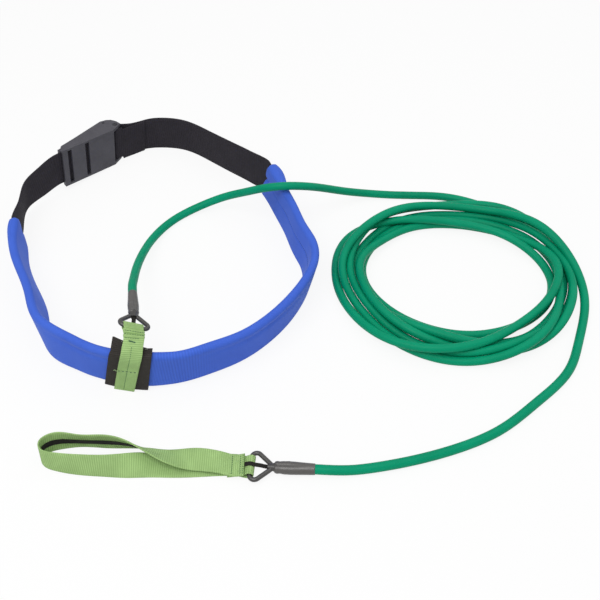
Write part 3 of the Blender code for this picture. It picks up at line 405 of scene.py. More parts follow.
# Moulded forms: darker colour, lighter colour, roughness, the grain's scale and depth, gloss
MOULDED = {
    "dark_plastic": ((0.056, 0.054, 0.066), (0.074, 0.072, 0.086), 0.48, 900.0, 0.00006, 0.3),
    "ring_black": ((0.020, 0.018, 0.017), (0.040, 0.037, 0.034), 0.30, 500.0, 0.00012, 0.7),
    "shrink_black": ((0.044, 0.040, 0.037), (0.066, 0.061, 0.056), 0.36, 700.0, 0.00010, 0.8),
}
STEEL = ((0.035, 0.035, 0.040), (0.060, 0.060, 0.068), 0.38)
THREADS = {
    "light_thread": (0.46, 0.64, 0.31),
    "dark_thread": (0.050, 0.130, 0.075),
    "black_thread": (0.030, 0.028, 0.026),
    "pale_thread": (0.36, 0.40, 0.33),
    "pad_thread": (0.030, 0.075, 0.330),
}
RUBBER_COLOURS = ((0.000, 0.262, 0.132), (0.001, 0.310, 0.160))
CLOTH_COLOURS = ((0.046, 0.122, 0.610), (0.058, 0.148, 0.690))
# Painted shade: the cloth's colour from its dips up to its tops
CLOTH_GROOVE_SHADES = ((0.040, 0.106, 0.540), (0.058, 0.148, 0.690))

# Stage
FLOOR_HALF_SIZE = 4.0
FLOOR_WHITENING = 0.88
WORLD_STRENGTH = 0.50
LAMP_TARGET = (0.15, 0.0, 0.0)
LAMPS = (("key", (-0.25, -0.65, 1.55), 1.2, 15.0), ("fill", (0.9, 0.4, 1.6), 1.6, 6.0))


# Shapes


def at_origin(points):
    return np.asarray(points, dtype=float) - DRAWING_CENTRE


def frame_matrix(location, turn_degrees):
    turn = Matrix.Identity(4)
    for axis, angle in zip("XYZ", turn_degrees):
        turn = Matrix.Rotation(math.radians(angle), 4, axis) @ turn
    return Matrix.Translation(location) @ turn


def on_axis(distances, at, turn):
    """Places straight ahead of a frame's origin."""
    matrix = frame_matrix(at, turn)
    return [tuple(matrix @ Vector((x, 0.0, 0.0))) for x in distances]


def arc(centre, radius, start, end, steps):
    angles = np.radians(np.linspace(start, end, steps + 1))
    return [(centre[0] + radius * math.cos(t), centre[1] + radius * math.sin(t)) for t in angles]


def smooth_curve(points, spacing):
    """A natural cubic spline through all the points, filled in to about the spacing."""
    p = np.array(points, dtype=float)
    chord = np.linalg.norm(np.diff(p[:, :3], axis=0), axis=1)
    last = len(p) - 1
    matrix = np.eye(len(p))
    rhs = np.zeros_like(p)
    for i in range(1, last):
        matrix[i, i - 1] = chord[i - 1]
        matrix[i, i] = 2.0 * (chord[i - 1] + chord[i])
        matrix[i, i + 1] = chord[i]
        rhs[i] = 6.0 * ((p[i + 1] - p[i]) / chord[i] - (p[i] - p[i - 1]) / chord[i - 1])
    bend = np.linalg.solve(matrix, rhs)
    out = []
    for i in range(last):
        steps = max(1, int(round(chord[i] / spacing)))
        for k in range(steps):
            b = k / steps
            a = 1.0 - b
            cubic = ((a ** 3 - a) * bend[i] + (b ** 3 - b) * bend[i + 1]) * chord[i] ** 2 / 6.0
            out.append(a * p[i] + b * p[i + 1] + cubic)
    out.append(p[-1])
    return np.array(out)


def lengths_along(points):
    steps = np.linalg.norm(np.diff(points[:, :3], axis=0), axis=1)
    return np.concatenate([[0.0], np.cumsum(steps)])


def lengths_round(points):
    return lengths_along(np.vstack([points, points[:1]]))


def at_length(length, along, vectors):
    """What a row of vectors says at a length between theirs."""
    return np.array([np.interp(length, along, vectors[:, k]) for k in range(3)])


def eased(value):
    value = np.clip(value, 0.0, 1.0)
    return value * value * (3.0 - 2.0 * value)


def hump(value, middle, half_width):
    return np.exp(-((value - middle) / half_width) ** 2)


class Line:
    """A strap's line: its centres, its directions across and away from its face, its lengths."""

    def __init__(self, centre, across, normal, along):
        self.centre = centre
        self.across = across
        self.normal = normal
        self.along = along

    def part(self, chosen):
        """The stations that a slice or a mask picks."""
        return Line(self.centre[chosen], self.across[chosen], self.normal[chosen],
                    self.along[chosen])

    def spot(self, length, side, lift):
        """A place on the strap: along it, across it, and above its middle."""
        centre, across, normal = [at_length(length, self.along, vectors)
                                  for vectors in (self.centre, self.across, self.normal)]
        return centre + side * across + lift * normal


def strap_line(stations, square=True):
    """The line through stations of a place and a direction across, which may be squared up."""
    centre = stations[:, :3]
    ahead = np.gradient(centre, axis=0)
    ahead /= np.linalg.norm(ahead, axis=1)[:, None]
    across = stations[:, 3:6]
    if square:
        across = across - (across * ahead).sum(axis=1)[:, None] * ahead
    across = across / np.linalg.norm(across, axis=1)[:, None]
    normal = np.cross(ahead, across)
    normal /= np.linalg.norm(normal, axis=1)[:, None]
    return Line(centre, across, normal, lengths_along(centre))


def mesh_object(name, points, faces, material, uvs=None, smooth_angle=50.0):
    mesh = bpy.data.meshes.new(name)
    mesh.from_pydata(at_origin(points).tolist(), [], [tuple(face) for face in faces])
    if uvs is not None:
        layer = mesh.uv_layers.new(name="strap")
        layer.data.foreach_set("uv", np.array(uvs, dtype=np.float32).ravel())
    mesh.validate()
    mesh.shade_smooth()
    mesh.set_sharp_from_angle(angle=math.radians(smooth_angle))
    mesh.materials.append(material)
    obj = bpy.data.objects.new(name, mesh)
    bpy.context.scene.collection.objects.link(obj)
    return obj


def grid_faces(rows, columns, start=0, closed_rows=False):
    """Faces between rows of points that run round a closed section."""
    faces = []
    for i in range(rows if closed_rows else rows - 1):
        k = (i + 1) % rows
        for j in range(columns):
            m = (j + 1) % columns
            faces.append((start + i * columns + j, start + i * columns + m,
                          start + k * columns + m, start + k * columns + j))
    return faces


def end_faces(rows, columns, start=0):
    """The faces that close the first and the last row."""
    last = start + (rows - 1) * columns
    return [list(range(start, start + columns))[::-1], list(range(last, last + columns))]


def grid_uvs(along, around):
    """A UV map in metres for the faces between rows, from the lengths both ways."""
    uvs = []
    for near, far in zip(along, along[1:]):
        for low, high in zip(around, around[1:]):
            uvs += [(near, low), (near, high), (far, high), (far, low)]
    return uvs


def skin(name, line, sections, material, closed=False, smooth_angle=50.0):
    """A closed skin over sections with a UV map in metres.

    A section is a row of points: across, away from the face, and if wanted along the line.
    """
    sections = np.asarray(sections, dtype=float)
    rows, columns = sections.shape[:2]
    points = (line.centre[:, None, :] + sections[:, :, :1] * line.across[:, None, :]
              + sections[:, :, 1:2] * line.normal[:, None, :])
    if sections.shape[2] == 3:
        ahead = np.cross(line.across, line.normal)
        points += sections[:, :, 2:] * ahead[:, None, :]
    along = list(line.along)
    if closed:
        along.append(along[-1] + along[1] - along[0])
    around = lengths_round(sections[rows // 2])
    faces = grid_faces(rows, columns, closed_rows=closed)
    uvs = grid_uvs(along, around)
    if not closed:
        faces += end_faces(rows, columns)
        uvs += [(along[0], length) for length in around[:-1][::-1]]
        uvs += [(along[-1], length) for length in around[:-1]]
    return mesh_object(name, points.reshape(-1, 3), faces, material, uvs, smooth_angle)


def strap_sections(count, widths, thicks, lower=0.0, upper=0.0, columns=8):
    """Flat sections with rounded edges; lower and upper shift the two faces of each station."""
    widths, thicks, lower, upper = [np.broadcast_to(value, count)
                                    for value in (widths, thicks, lower, upper)]
    flat = np.linspace(1.0, -1.0, columns + 1)
    turn = np.array([0.9, math.pi / 2.0, 2.24])
    half = thicks / 2.0
    span = widths / 2.0 - half
    out = []
    for s, h, low, high in zip(span, half, lower, upper):
        rows = [(s * f, low - h) for f in flat]
        rows += [(-s - h * math.sin(t), (low + high) / 2.0 - h * math.cos(t)) for t in turn]
        rows += [(-s * f, high + h) for f in flat]
        rows += [(s + h * math.sin(t), (low + high) / 2.0 + h * math.cos(t)) for t in turn]
        out.append(rows)
    return np.array(out)


def woven_strap(name, line, widths, thick, material, pitch, depth=RIB_DEPTH, offset=0.0,
                lift=0.0):
    """A strap with its cross ribs and scalloped edges modelled, one rib to each pitch."""
    rib = np.abs(np.sin(math.pi * line.along / pitch)) - 0.5
    count = len(line.along)
    lower = offset - depth * rib
    upper = offset + depth * rib + lift
    sections = strap_sections(count, widths + 2.0 * depth * rib, thick, lower, upper)
    return skin(name, line, sections, material, smooth_angle=80.0)


def round_skin(name, path, radii, material, sides=16, closed=False):
    """A round rod along a path, without twist."""
    path = np.asarray(path, dtype=float)
    if closed:
        ahead = np.roll(path, -1, axis=0) - np.roll(path, 1, axis=0)
    else:
        ahead = np.gradient(path, axis=0)
    ahead /= np.linalg.norm(ahead, axis=1)[:, None]
    start = np.cross(ahead[0], (0.0, 0.0, 1.0))
    across = np.zeros_like(path)
    for i, along in enumerate(ahead):
        start = start - np.dot(start, along) * along
        start /= np.linalg.norm(start)
        across[i] = start
    line = Line(path, across, np.cross(ahead, across), lengths_along(path))
    angles = np.linspace(0.0, 2.0 * math.pi, sides, endpoint=False)
    circle = np.stack([np.cos(angles), np.sin(angles)], axis=1)
    sections = circle[None] * np.broadcast_to(radii, len(path))[:, None, None]
    return skin(name, line, sections, material, closed)


def single_thread(name, points, form, material):
    """One thread through the points."""
    spacing, radius, sides = form
    return round_skin(name, smooth_curve(points, spacing), radius, material, sides)


def stitches(name, rows, material):
    """Thread stitches along rows of surface points, each a short thread sunk at its ends.

    The profile says for each ring of a stitch where it is, how thick, and how far it stands out.
    """
    pitch, radius, fullness = STITCHES[name]
    points, faces = [], []
    angles = np.linspace(0.0, 2.0 * math.pi, STITCH_SIDES, endpoint=False)
    for surface, away in rows:
        line = np.asarray(surface, dtype=float)
        away = np.asarray(away, dtype=float)
        along = lengths_along(line)
        count = max(1, int(round(along[-1] / pitch)))
        step = along[-1] / count
        for k in range(count):
            spots = []
            for shift, _, rise in STITCH_PROFILE:
                s = (k + 0.5 + fullness * shift) * step
                up = at_length(s, along, away)
                spots.append(at_length(s, along, line) + rise * radius * up)
            ahead = spots[-1] - spots[0]
            ahead /= np.linalg.norm(ahead)
            side = np.cross(ahead, up)
            start = len(points)
            for centre, (_, size, _) in zip(spots, STITCH_PROFILE):
                points += [centre + size * radius * (math.cos(t) * side + math.sin(t) * up)
                           for t in angles]
            faces += grid_faces(len(spots), STITCH_SIDES, start)
            faces += end_faces(len(spots), STITCH_SIDES, start)
    return mesh_object(name, points, faces, material)


def surface_points(line, places, lift):
    """Places on a strap's face, along and across it, and the directions away from the strap."""
    points = [line.spot(length, side, lift) for length, side in places]
    above = lift + math.copysign(1.0, lift)
    away = [line.spot(length, side, above) - point for (length, side), point in zip(places, points)]
    return points, away


def stitch_row(line, length, half, reach, lift, steps=12):
    """A row of stitches across a strap, reaching each way by shares of half its width."""
    sides = np.linspace(half * reach[0], -half * reach[1], steps + 1)
    return surface_points(line, [(length, side) for side in sides], lift)


def stitch_run(line, side, length_from, length_to, lift, steps=60):
    """A line of stitches along a strap."""
    lengths = np.linspace(length_from, length_to, steps + 1)
    return surface_points(line, [(length, side) for length in lengths], lift)


def dress(piece, body, slot, *nodes):
    """Says what a piece rides on, and hides the parts that it stands for; the slot is not used."""
    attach(piece, body)
    if nodes:
        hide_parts(*nodes)


# Materials


def connect(tree, node, inputs):
    """Links the inputs that come from another node, and sets the others."""
    for key, value in inputs.items():
        if isinstance(value, bpy.types.NodeSocket):
            tree.links.new(value, node.inputs[key])
        else:
            node.inputs[key].default_value = value


def add_node(tree, kind, inputs, **settings):
    node = tree.nodes.new(kind)
    for key, value in settings.items():
        setattr(node, key, value)
    connect(tree, node, inputs)
    return node


def maths(tree, operation, first, second=0.0):
    return add_node(tree, "ShaderNodeMath", {0: first, 1: second}, operation=operation).outputs[0]


def new_material(name, roughness, metallic=0.0):
    material = bpy.data.materials.new(name)
    material.use_nodes = True
    tree = material.node_tree
    shader = tree.nodes["Principled BSDF"]
    connect(tree, shader, {"Roughness": roughness, "Metallic": metallic,
                           "Specular IOR Level": 0.5 if metallic else 0.22})
    return material, tree, shader


def noise(tree, scale, detail=3.0, stretch=(1.0, 1.0, 1.0)):
    place = add_node(tree, "ShaderNodeTexCoord", {}).outputs["Object"]
    placed = add_node(tree, "ShaderNodeMapping", {"Vector": place, "Scale": stretch})
    return add_node(tree, "ShaderNodeTexNoise", {"Vector": placed.outputs["Vector"], "Scale": scale,
                                                 "Detail": detail}).outputs["Fac"]


def ramp(tree, factor, low, high, start=0.3, end=0.7):
    node = add_node(tree, "ShaderNodeValToRGB", {"Fac": factor})
    node.color_ramp.elements[0].color = (*low, 1.0)
    node.color_ramp.elements[1].color = (*high, 1.0)
    node.color_ramp.elements[0].position = start
    node.color_ramp.elements[1].position = end
    return node.outputs["Color"]


def mix_colour(tree, factor, first, second):
    node = tree.nodes.new("ShaderNodeMix")
    node.data_type = "RGBA"
    tree.links.new(factor, node.inputs["Factor"])
    for name, value in (("A", first), ("B", second)):
        socket = next(s for s in node.inputs if s.name == name and s.type == "RGBA")
        if isinstance(value, bpy.types.NodeSocket):
            tree.links.new(value, socket)
        else:
            socket.default_value = (*value, 1.0)
    return next(s for s in node.outputs if s.type == "RGBA")


def bump(tree, shader, height, distance):
    inputs = {"Height": height, "Distance": distance, "Strength": 1.0}
    node = add_node(tree, "ShaderNodeBump", inputs)
    tree.links.new(node.outputs["Normal"], shader.inputs["Normal"])


def strap_axes(tree):
    """The way along a strap and the way across it, from its UV map in metres."""
    uv = add_node(tree, "ShaderNodeUVMap", {}, uv_map="strap").outputs["UV"]
    axes = add_node(tree, "ShaderNodeSeparateXYZ", {"Vector": uv})
    return axes.outputs["X"], axes.outputs["Y"]


def webbing_material(name, colour, groove_shade, rib_pitch, thread_pitch, depth, roughness):
    """Woven ribs across a strap, crossed by its lengthwise threads, on the UV map in metres. The grooves
    between ribs and threads take a darker colour as painted shade.
    """
    material, tree, shader = new_material(name, roughness)
    along, across = strap_axes(tree)
    drift = maths(tree, "MULTIPLY", noise(tree, 150.0, 2.0), 0.9)
    rib_turn = maths(tree, "MULTIPLY", along, math.pi / rib_pitch)
    rib = maths(tree, "ABSOLUTE", maths(tree, "SINE", rib_turn))
    thread_turn = maths(tree, "MULTIPLY", across, math.pi / thread_pitch)
    thread = maths(tree, "ABSOLUTE", maths(tree, "SINE", maths(tree, "ADD", thread_turn, drift)))
    height = maths(tree, "MULTIPLY", maths(tree, "POWER", rib, 0.55), maths(tree, "POWER", thread, 0.45))
    fuzz = noise(tree, 2600.0, 2.0)
    rough = maths(tree, "ADD", height, maths(tree, "MULTIPLY", fuzz, 0.5))
    cloudy = ramp(tree, noise(tree, 60.0), tuple(WORN * c for c in colour),
                  tuple(FADED * c for c in colour))
    # The weave's low places take the groove colour: painted shade in the grooves
    tree.links.new(mix_colour(tree, height, groove_shade, cloudy), shader.inputs["Base Color"])
    bump(tree, shader, rough, depth)
    return material


def cloth_material():
    """Smooth knit over foam, with faint ribs across the pad where it is pressed. On part of the cloth
    its dips are painted darker as shade.
    """
    material, tree, shader = new_material("pad_cloth", 0.70)
    along, _ = strap_axes(tree)
    drift = maths(tree, "MULTIPLY", noise(tree, 40.0, 2.0), 2.5)
    turn = maths(tree, "MULTIPLY", along, 2.0 * math.pi / RIPPLE_PITCH)
    ripple = maths(tree, "SINE", maths(tree, "ADD", turn, drift))
    away = maths(tree, "ABSOLUTE", maths(tree, "SUBTRACT", along, RIPPLE_AT))
    patch = maths(tree, "SUBTRACT", 1.0, maths(tree, "DIVIDE", away, RIPPLE_REACH))
    faint = maths(tree, "MULTIPLY", ripple, maths(tree, "MAXIMUM", patch, 0.04))
    knit = noise(tree, 1500.0, 2.0)
    height = maths(tree, "ADD", maths(tree, "MULTIPLY", faint, 0.30),
                   maths(tree, "MULTIPLY", knit, 0.35))
    cloud = ramp(tree, noise(tree, 30.0), *CLOTH_COLOURS)
    # Painted shade: a darker colour in the dips of the knit and ripples
    groove_shade = ramp(tree, height, *CLOTH_GROOVE_SHADES, 0.0, 0.35)
    half = add_node(tree, "ShaderNodeTexNoise", {"Scale": 700.0}).outputs["Fac"]
    connect(tree, shader, {"Base Color": mix_colour(tree, half, cloud, groove_shade),
                           "Sheen Weight": 0.12, "Sheen Roughness": 0.45,
                           "Sheen Tint": (0.45, 0.60, 1.0, 1.0)})
    bump(tree, shader, height, 0.00020)
    return material


def rubber_material():
    """Smooth latex with a soft gloss, faint dents and a trace of dust."""
    material, tree, shader = new_material("green_rubber", 0.5)
    shine = ramp(tree, noise(tree, 120.0), (0.36, 0.36, 0.36), (0.50, 0.50, 0.50))
    connect(tree, shader, {"Base Color": ramp(tree, noise(tree, 22.0), *RUBBER_COLOURS),
                           "Roughness": shine, "Specular IOR Level": 0.10})
    bump(tree, shader, noise(tree, 420.0, 4.0), 0.00008)
    return material


def moulded_material(name, low, high, roughness, grain, depth, gloss):
    """Moulded plastic or rubber with a fine grain and a little scuffing."""
    material, tree, shader = new_material(name, roughness)
    glossier, duller = (roughness - 0.07,) * 3, (roughness + 0.08,) * 3
    connect(tree, shader, {"Base Color": ramp(tree, noise(tree, 45.0, 5.0), low, high),
                           "Roughness": ramp(tree, noise(tree, 170.0, 4.0), glossier, duller),
                           "Specular IOR Level": gloss})
    bump(tree, shader, noise(tree, grain, 3.0), depth)
    return material


def metal_material(name, low, high, roughness):
    material, tree, shader = new_material(name, roughness, 0.9)
    streaks = noise(tree, 80.0, 4.0, (1.0, 1.0, 12.0))
    tree.links.new(ramp(tree, streaks, low, high), shader.inputs["Base Color"])
    bump(tree, shader, noise(tree, 1200.0, 2.0, (1.0, 1.0, 0.1)), 0.00003)
    return material


def thread_material(name, colour):
    material, tree, shader = new_material(name, 0.75)
    tree.links.new(ramp(tree, noise(tree, 900.0), tuple(0.75 * c for c in colour), colour),
                   shader.inputs["Base Color"])
    bump(tree, shader, noise(tree, 4000.0), 0.00008)
    return material


# Stage


def seen_directly(tree):
    """One for what the camera and reflections see, and zero for what lights the object."""
    rays = add_node(tree, "ShaderNodeLightPath", {})
    seen = maths(tree, "MAXIMUM", rays.outputs["Is Camera Ray"], rays.outputs["Is Glossy Ray"])
    return maths(tree, "MAXIMUM", seen, rays.outputs["Is Transmission Ray"])


def floor_material():
    """Matt white; what the camera and reflections see of it is lifted towards plain white."""
    material, tree, shader = new_material("floor", 0.9)
    connect(tree, shader, {"Base Color": (0.90, 0.90, 0.90, 1.0), "Specular IOR Level": 0.0})
    seen = seen_directly(tree)
    white = add_node(tree, "ShaderNodeEmission", {"Color": (1.0, 1.0, 1.0, 1.0), "Strength": 1.0})
    share = maths(tree, "MULTIPLY", seen, FLOOR_WHITENING)
    mixed = add_node(tree, "ShaderNodeMixShader",
                     {0: share, 1: shader.outputs["BSDF"], 2: white.outputs["Emission"]})
    tree.links.new(mixed.outputs["Shader"], tree.nodes["Material Output"].inputs["Surface"])
    return material


def make_stage():
    camera_data = bpy.data.cameras.new("camera")
    camera_data.lens = CAMERA_LENS
    camera_data.sensor_width = 36.0
    camera = bpy.data.objects.new("camera", camera_data)
    camera.location = at_origin(CAMERA_AT)
    camera.rotation_euler = (math.radians(CAMERA_PITCH), 0.0, 0.0)
    bpy.context.scene.collection.objects.link(camera)
    bpy.context.scene.camera = camera
    bpy.context.scene.view_settings.view_transform = "Standard"

    reach = FLOOR_HALF_SIZE
    corners = [(-reach, -reach, 0.0), (reach, -reach, 0.0),
               (reach, reach, 0.0), (-reach, reach, 0.0)]
    mesh_object("floor", corners, [(0, 1, 2, 3)], floor_material())

    world = bpy.data.worlds.new("studio")
    world.use_nodes = True
    tree = world.node_tree
    background = tree.nodes["Background"]
    background.inputs["Color"].default_value = (1.0, 1.0, 1.0, 1.0)
    lifted = maths(tree, "MULTIPLY", seen_directly(tree), 1.0 - WORLD_STRENGTH)
    tree.links.new(maths(tree, "ADD", lifted, WORLD_STRENGTH), background.inputs["Strength"])
    bpy.context.scene.world = world
    for name, spot, size, power in LAMPS:
        light_data = bpy.data.lights.new(name, "AREA")
        light_data.size = size
        light_data.energy = power
        light = bpy.data.objects.new(name, light_data)
        light.location = spot
        light.rotation_euler = (Vector(LAMP_TARGET) - Vector(spot)).to_track_quat("-Z", "Y").to_euler()
        bpy.context.scene.collection.objects.link(light)


# The tube


def coil_route():
    """The coil's turns, clockwise seen from above, before they are settled."""
    points = []
    bearing = COIL_START
    for radii, layers in COIL_TURNS:
        for radius, layer in zip(radii, layers):
            angle = math.radians(bearing)
            points.append((COIL_CENTRE[0] + radius / 1000.0 * math.cos(angle),
                           COIL_CENTRE[1] + COIL_FLATNESS * radius / 1000.0 * math.sin(angle),
                           TUBE_ON_FLOOR + LAYER_HEIGHT * layer))
            bearing -= COIL_STEP
    return points


def settle(path, moving):
    """Lets the coil's turns down on the floor and on each other without passing through.

    Turns that touch push each other apart, mostly up and down where they cross, and the
    tube's stiffness spreads each push along it.
    """
    count = len(path)
    second = np.diff(np.eye(count), n=2, axis=0)
    stiff = np.linalg.inv(np.eye(count) + SETTLE_STIFFNESS * second.T @ second)
    base = path + moving[:, None] * (stiff @ path - path)
    p = base.copy()
    order = np.arange(count)
    apart = np.abs(order[:, None] - order[None, :]) > SETTLE_NEIGHBOURS
    diameter = 2.0 * TUBE_RADIUS * SETTLE_ROOM
    for turn in range(SETTLE_ROUNDS):
        gap = p[:, None, :] - p[None, :, :]
        distance = np.sqrt((gap ** 2).sum(axis=2)) + 1e-9
        i, j = np.nonzero(apart & (distance < diameter))
        away = gap[i, j] * ((diameter - distance[i, j]) / distance[i, j] * 0.5)[:, None]
        crossing = np.abs(gap[i, j, 2]) > 0.3 * diameter
        away[crossing, :2] *= SETTLE_SIDEWAYS
        push = np.zeros_like(p)
        np.add.at(push, i, away)
        push /= np.maximum(1, np.bincount(i, minlength=count))[:, None] ** 0.5
        shift = p + SETTLE_PUSH * push - base
        shift[:, :2] *= 1.0 - SETTLE_HOLD
        shift[:, 2] -= SETTLE_SINK if turn < SETTLE_SINKING_ROUNDS else 0.0
        p = base + moving[:, None] * (stiff @ shift)
        p[:, 2] = np.where(moving > 0.0, np.maximum(p[:, 2], TUBE_ON_FLOOR), p[:, 2])
    return p


def tube_exit(ring_at, ring_turn):
    """Where the tube leaves a ring's sleeve, and a place straight ahead of it."""
    return on_axis((SLEEVE_END + GAP, SLEEVE_END + TUBE_STRAIGHT), ring_at, ring_turn)


def make_cords(material):
    """The whole tube, in a short first stretch and the rest."""
    route = tube_exit(RING_1_AT, RING_1_TURN) + list(LEAD_ROUTE) + coil_route() + list(TAIL_ROUTE)
    route += tube_exit(RING_2_AT, RING_2_TURN)[::-1]
    path = smooth_curve(route, SETTLE_SPACING)
    from_coil = np.hypot(path[:, 0] - COIL_CENTRE[0], (path[:, 1] - COIL_CENTRE[1]) / COIL_FLATNESS)
    path = settle(path, eased((COIL_REACH - from_coil) / COIL_REACH_FADE))
    path = smooth_curve(np.vstack([path[:-1:2], path[-1:]]), TUBE_SPACING)
    along = lengths_along(path)
    split = int(np.searchsorted(along, FIRST_STRETCH))
    first = round_skin("tube_first", path[:split + 1], TUBE_RADIUS, material)
    rest = round_skin("tube_rest", path[split:], TUBE_RADIUS, material)
    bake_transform(first)
    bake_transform(rest)
    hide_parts("cord_lead", "cord_coil", "cord_tail")
    print("tube length", round(float(along[-1]), 3))


# The belt


def buckle_station(x, y):
    """A place in the buckle's frame, and the direction across the webbing there."""
    matrix = frame_matrix(BUCKLE_ORIGIN, BUCKLE_TURN)
    up = matrix.to_3x3() @ Vector((0.0, 0.0, 1.0))
    return [*(matrix @ Vector((x, y, BUCKLE_HEIGHT / 2.0))), *up]


def belt_station(x, y, height, lean):
    """A place on the belt's way round, and the direction across the belt, leaning outwards."""
    out = Vector((x - FRONT_CENTRE[0], y - FRONT_CENTRE[1], 0.0)).normalized()
    tilt = math.radians(lean)
    up = Vector((0.0, 0.0, math.cos(tilt))) + out * math.sin(tilt)
    return [x, y, height, *up]


def belt_line(spacing):
    """The whole belt, clockwise seen from above, from the folded tail round to the cam."""
    wrap = arc((0.0, 0.0), BAR_WRAP_RADIUS, *BAR_WRAP, 9)
    line = [buckle_station(BAR_AT[0] + x, BAR_AT[1] + y)
            for x, y in [*FOLD_BACK_ROUTE, *wrap, *BAR_EXIT_ROUTE]]
    line += [belt_station(*values) for values in RIGHT_BACK_ROUTE + RIGHT_ROUTE]
    front = arc(FRONT_CENTRE, FRONT_RADIUS, SLIDER_BEARING + FRONT_HALF_ANGLE,
                SLIDER_BEARING - FRONT_HALF_ANGLE, FRONT_STATIONS[-1])
    leans = np.interp(range(len(front)), FRONT_STATIONS, FRONT_LEANS)
    line += [belt_station(x, y, FRONT_MID, lean) for (x, y), lean in zip(front, leans)]
    line += [belt_station(*values) for values in LEFT_ROUTE]
    line += [buckle_station(x, CHANNEL_LINE) for x in CHANNEL_ROUTE]
    return smooth_curve(line, spacing)


def nearest(line, point):
    return int(np.argmin(np.hypot(line.centre[:, 0] - point[0], line.centre[:, 1] - point[1])))


def make_webbing(material):
    """One band from the folded tail round to the cam; it is narrower where the pad hides it."""
    line = strap_line(belt_line(BLACK_RIB / 4.0))
    first, last = nearest(line, PAD_RIGHT_END), nearest(line, PAD_LEFT_END)
    along = line.along
    inside = np.minimum(along - along[first], along[last] - along)
    shift = WEBBING_IN_PAD * eased(inside / BEND_INTO_PAD + 1.0)
    width = WEBBING_WIDTH - HIDDEN_NARROWING * eased(inside / HIDDEN_FADE)
    tail = eased((FOLD_TAIL - along) / FOLD_RIDGE_FADE)
    ridges = FOLD_RIDGE * tail * (0.5 + 0.5 * np.cos(2.0 * math.pi * along / FOLD_RIDGE_PITCH))
    lowered = np.clip(along / FOLD_DROP_REACH, 0.0, 1.0)
    hanging = FOLD_DROP[0] + (FOLD_DROP[1] - FOLD_DROP[0]) * lowered
    drop = -hanging * eased((FOLD_HANGS_TO - along) / FOLD_HANG_FADE)
    line.centre = line.centre + shift[:, None] * line.normal + drop[:, None] * line.across
    line.centre[:, 2] = np.maximum(line.centre[:, 2], WEBBING_WIDTH / 2.0 + WEBBING_FLOOR_GAP)
    keep = (inside < HIDDEN_AFTER) | (np.arange(len(along)) % HIDDEN_STRIDE == 0)
    line = line.part(keep)
    rib = BLACK_RIB_DEPTH * (np.abs(np.sin(math.pi * line.along / BLACK_RIB)) - 0.5)
    sections = strap_sections(len(line.along), width[keep] + rib, WEBBING_THICK, -rib,
                              rib + ridges[keep])
    band = skin("webbing_band", line, sections, material, smooth_angle=80.0)
    dress(band, "belt", "black_webbing", "belt_webbing")


def end_lobes(u):
    """How far the pad's closed end draws back: at its notch, and at its rounded edges."""
    return PAD_LOBE * (hump(u, PAD_NOTCH_AT, PAD_NOTCH_WIDTH) + np.abs(u) ** 8)


def pad_sections(line, start, end):
    """A flat sleeve with round edges, puffed, two-lobed and closed at its ends."""
    along = line.along
    near = np.minimum(along - start, end - along)
    closing = np.sqrt(np.maximum(0.0, 1.0 - (1.0 - np.clip(near / PAD_END_ROUND, 0.0, 1.0)) ** 2))
    wave = sum(np.sin(along / length + turn) for length, turn in PAD_WAVES) * 0.5
    right_puff = hump(along, start + PAD_RIGHT_PUFF[0], PAD_RIGHT_PUFF[1])
    left_puff = hump(along, end - PAD_LEFT_PUFF[0], PAD_LEFT_PUFF[1])
    thick = PAD_SOFT_THICK * (1.0 + PAD_WAVE_PART * wave)
    thick = thick + PAD_RIGHT_PUFF[2] * right_puff + PAD_LEFT_PUFF[2] * left_puff
    right_end = 1.0 - eased((along - start) / PAD_RIGHT_REACH)
    left_end = 1.0 - eased((end - along) / PAD_LEFT_REACH)
    crease_at = sum(hump(along, *crease) for crease in CREASES)
    seam_at = 1.0 - eased((along - PAD_SEAM_END) / PAD_SEAM_FADE)
    flat = np.linspace(1.0, -1.0, PAD_FACE_POINTS)
    turn = np.linspace(0.0, math.pi, PAD_EDGE_POINTS + 2)[1:-1]
    out = []
    for i in range(len(along)):
        half = PAD_END_THICK + (thick[i] - PAD_END_THICK) * closing[i]
        high = PAD_HALF_HEIGHT - PAD_END_NARROWING * (1.0 - closing[i])
        edge = min(half, PAD_EDGE)
        span = high - edge
        a = span * flat
        crown = PAD_CROWN * (1.0 - flat ** 2)
        crease = PAD_CREASE * hump(a, span - PAD_CREASE_FROM_EDGE, PAD_CREASE_WIDTH) * crease_at[i]
        seam = PAD_SEAM * hump(a, PAD_SEAM_AT, PAD_SEAM_WIDTH) * seam_at[i]
        dent = hump(flat, PAD_NOTCH_AT, PAD_NOTCH_DENT_WIDTH)
        lobes = 1.0 - PAD_NOTCH_DENT * right_end[i] * dent
        outer = -(half + crown - crease) * lobes
        inner = (half + crown - seam) * lobes
        rows = list(zip(a, outer))
        rows += [(-span - edge * math.sin(t), -half * math.cos(t)) for t in turn]
        rows += list(zip(a[::-1], inner[::-1]))
        rows += [(span + edge * math.sin(t), half * math.cos(t)) for t in turn]
        rows = np.array(rows)
        u = rows[:, 0] / high
        drawn = end_lobes(u)
        slip = right_end[i] * (PAD_RIGHT_SHEAR * (u + 1.0) / 2.0 + drawn) - left_end[i] * drawn
        out.append(np.column_stack([rows, slip]))
    return np.array(out)


def make_pad(cloth, thread):
    """The pad's sleeve, tight over its foam, and the seam along its inner face."""
    line = strap_line(belt_line(PAD_SPACING))
    first, last = nearest(line, PAD_RIGHT_END), nearest(line, PAD_LEFT_END)
    pad_line = line.part(slice(first, last + 1))
    start, end = pad_line.along[0], pad_line.along[-1]
    pad = skin("pad_sleeve", pad_line, pad_sections(pad_line, start, end), cloth,
               smooth_angle=180.0)
    dress(pad, "belt", "blue_cloth", "pad_cover", "pad_foam")
    lift = PAD_SOFT_THICK - PAD_SEAM + THREAD_LIFT
    rows = [stitch_run(pad_line, PAD_SEAM_AT, start + PAD_SEAM_START, PAD_SEAM_END, lift, 200)]
    dress(stitches("pad_seam_thread", rows, thread), "belt", "blue_cloth")


# The slider


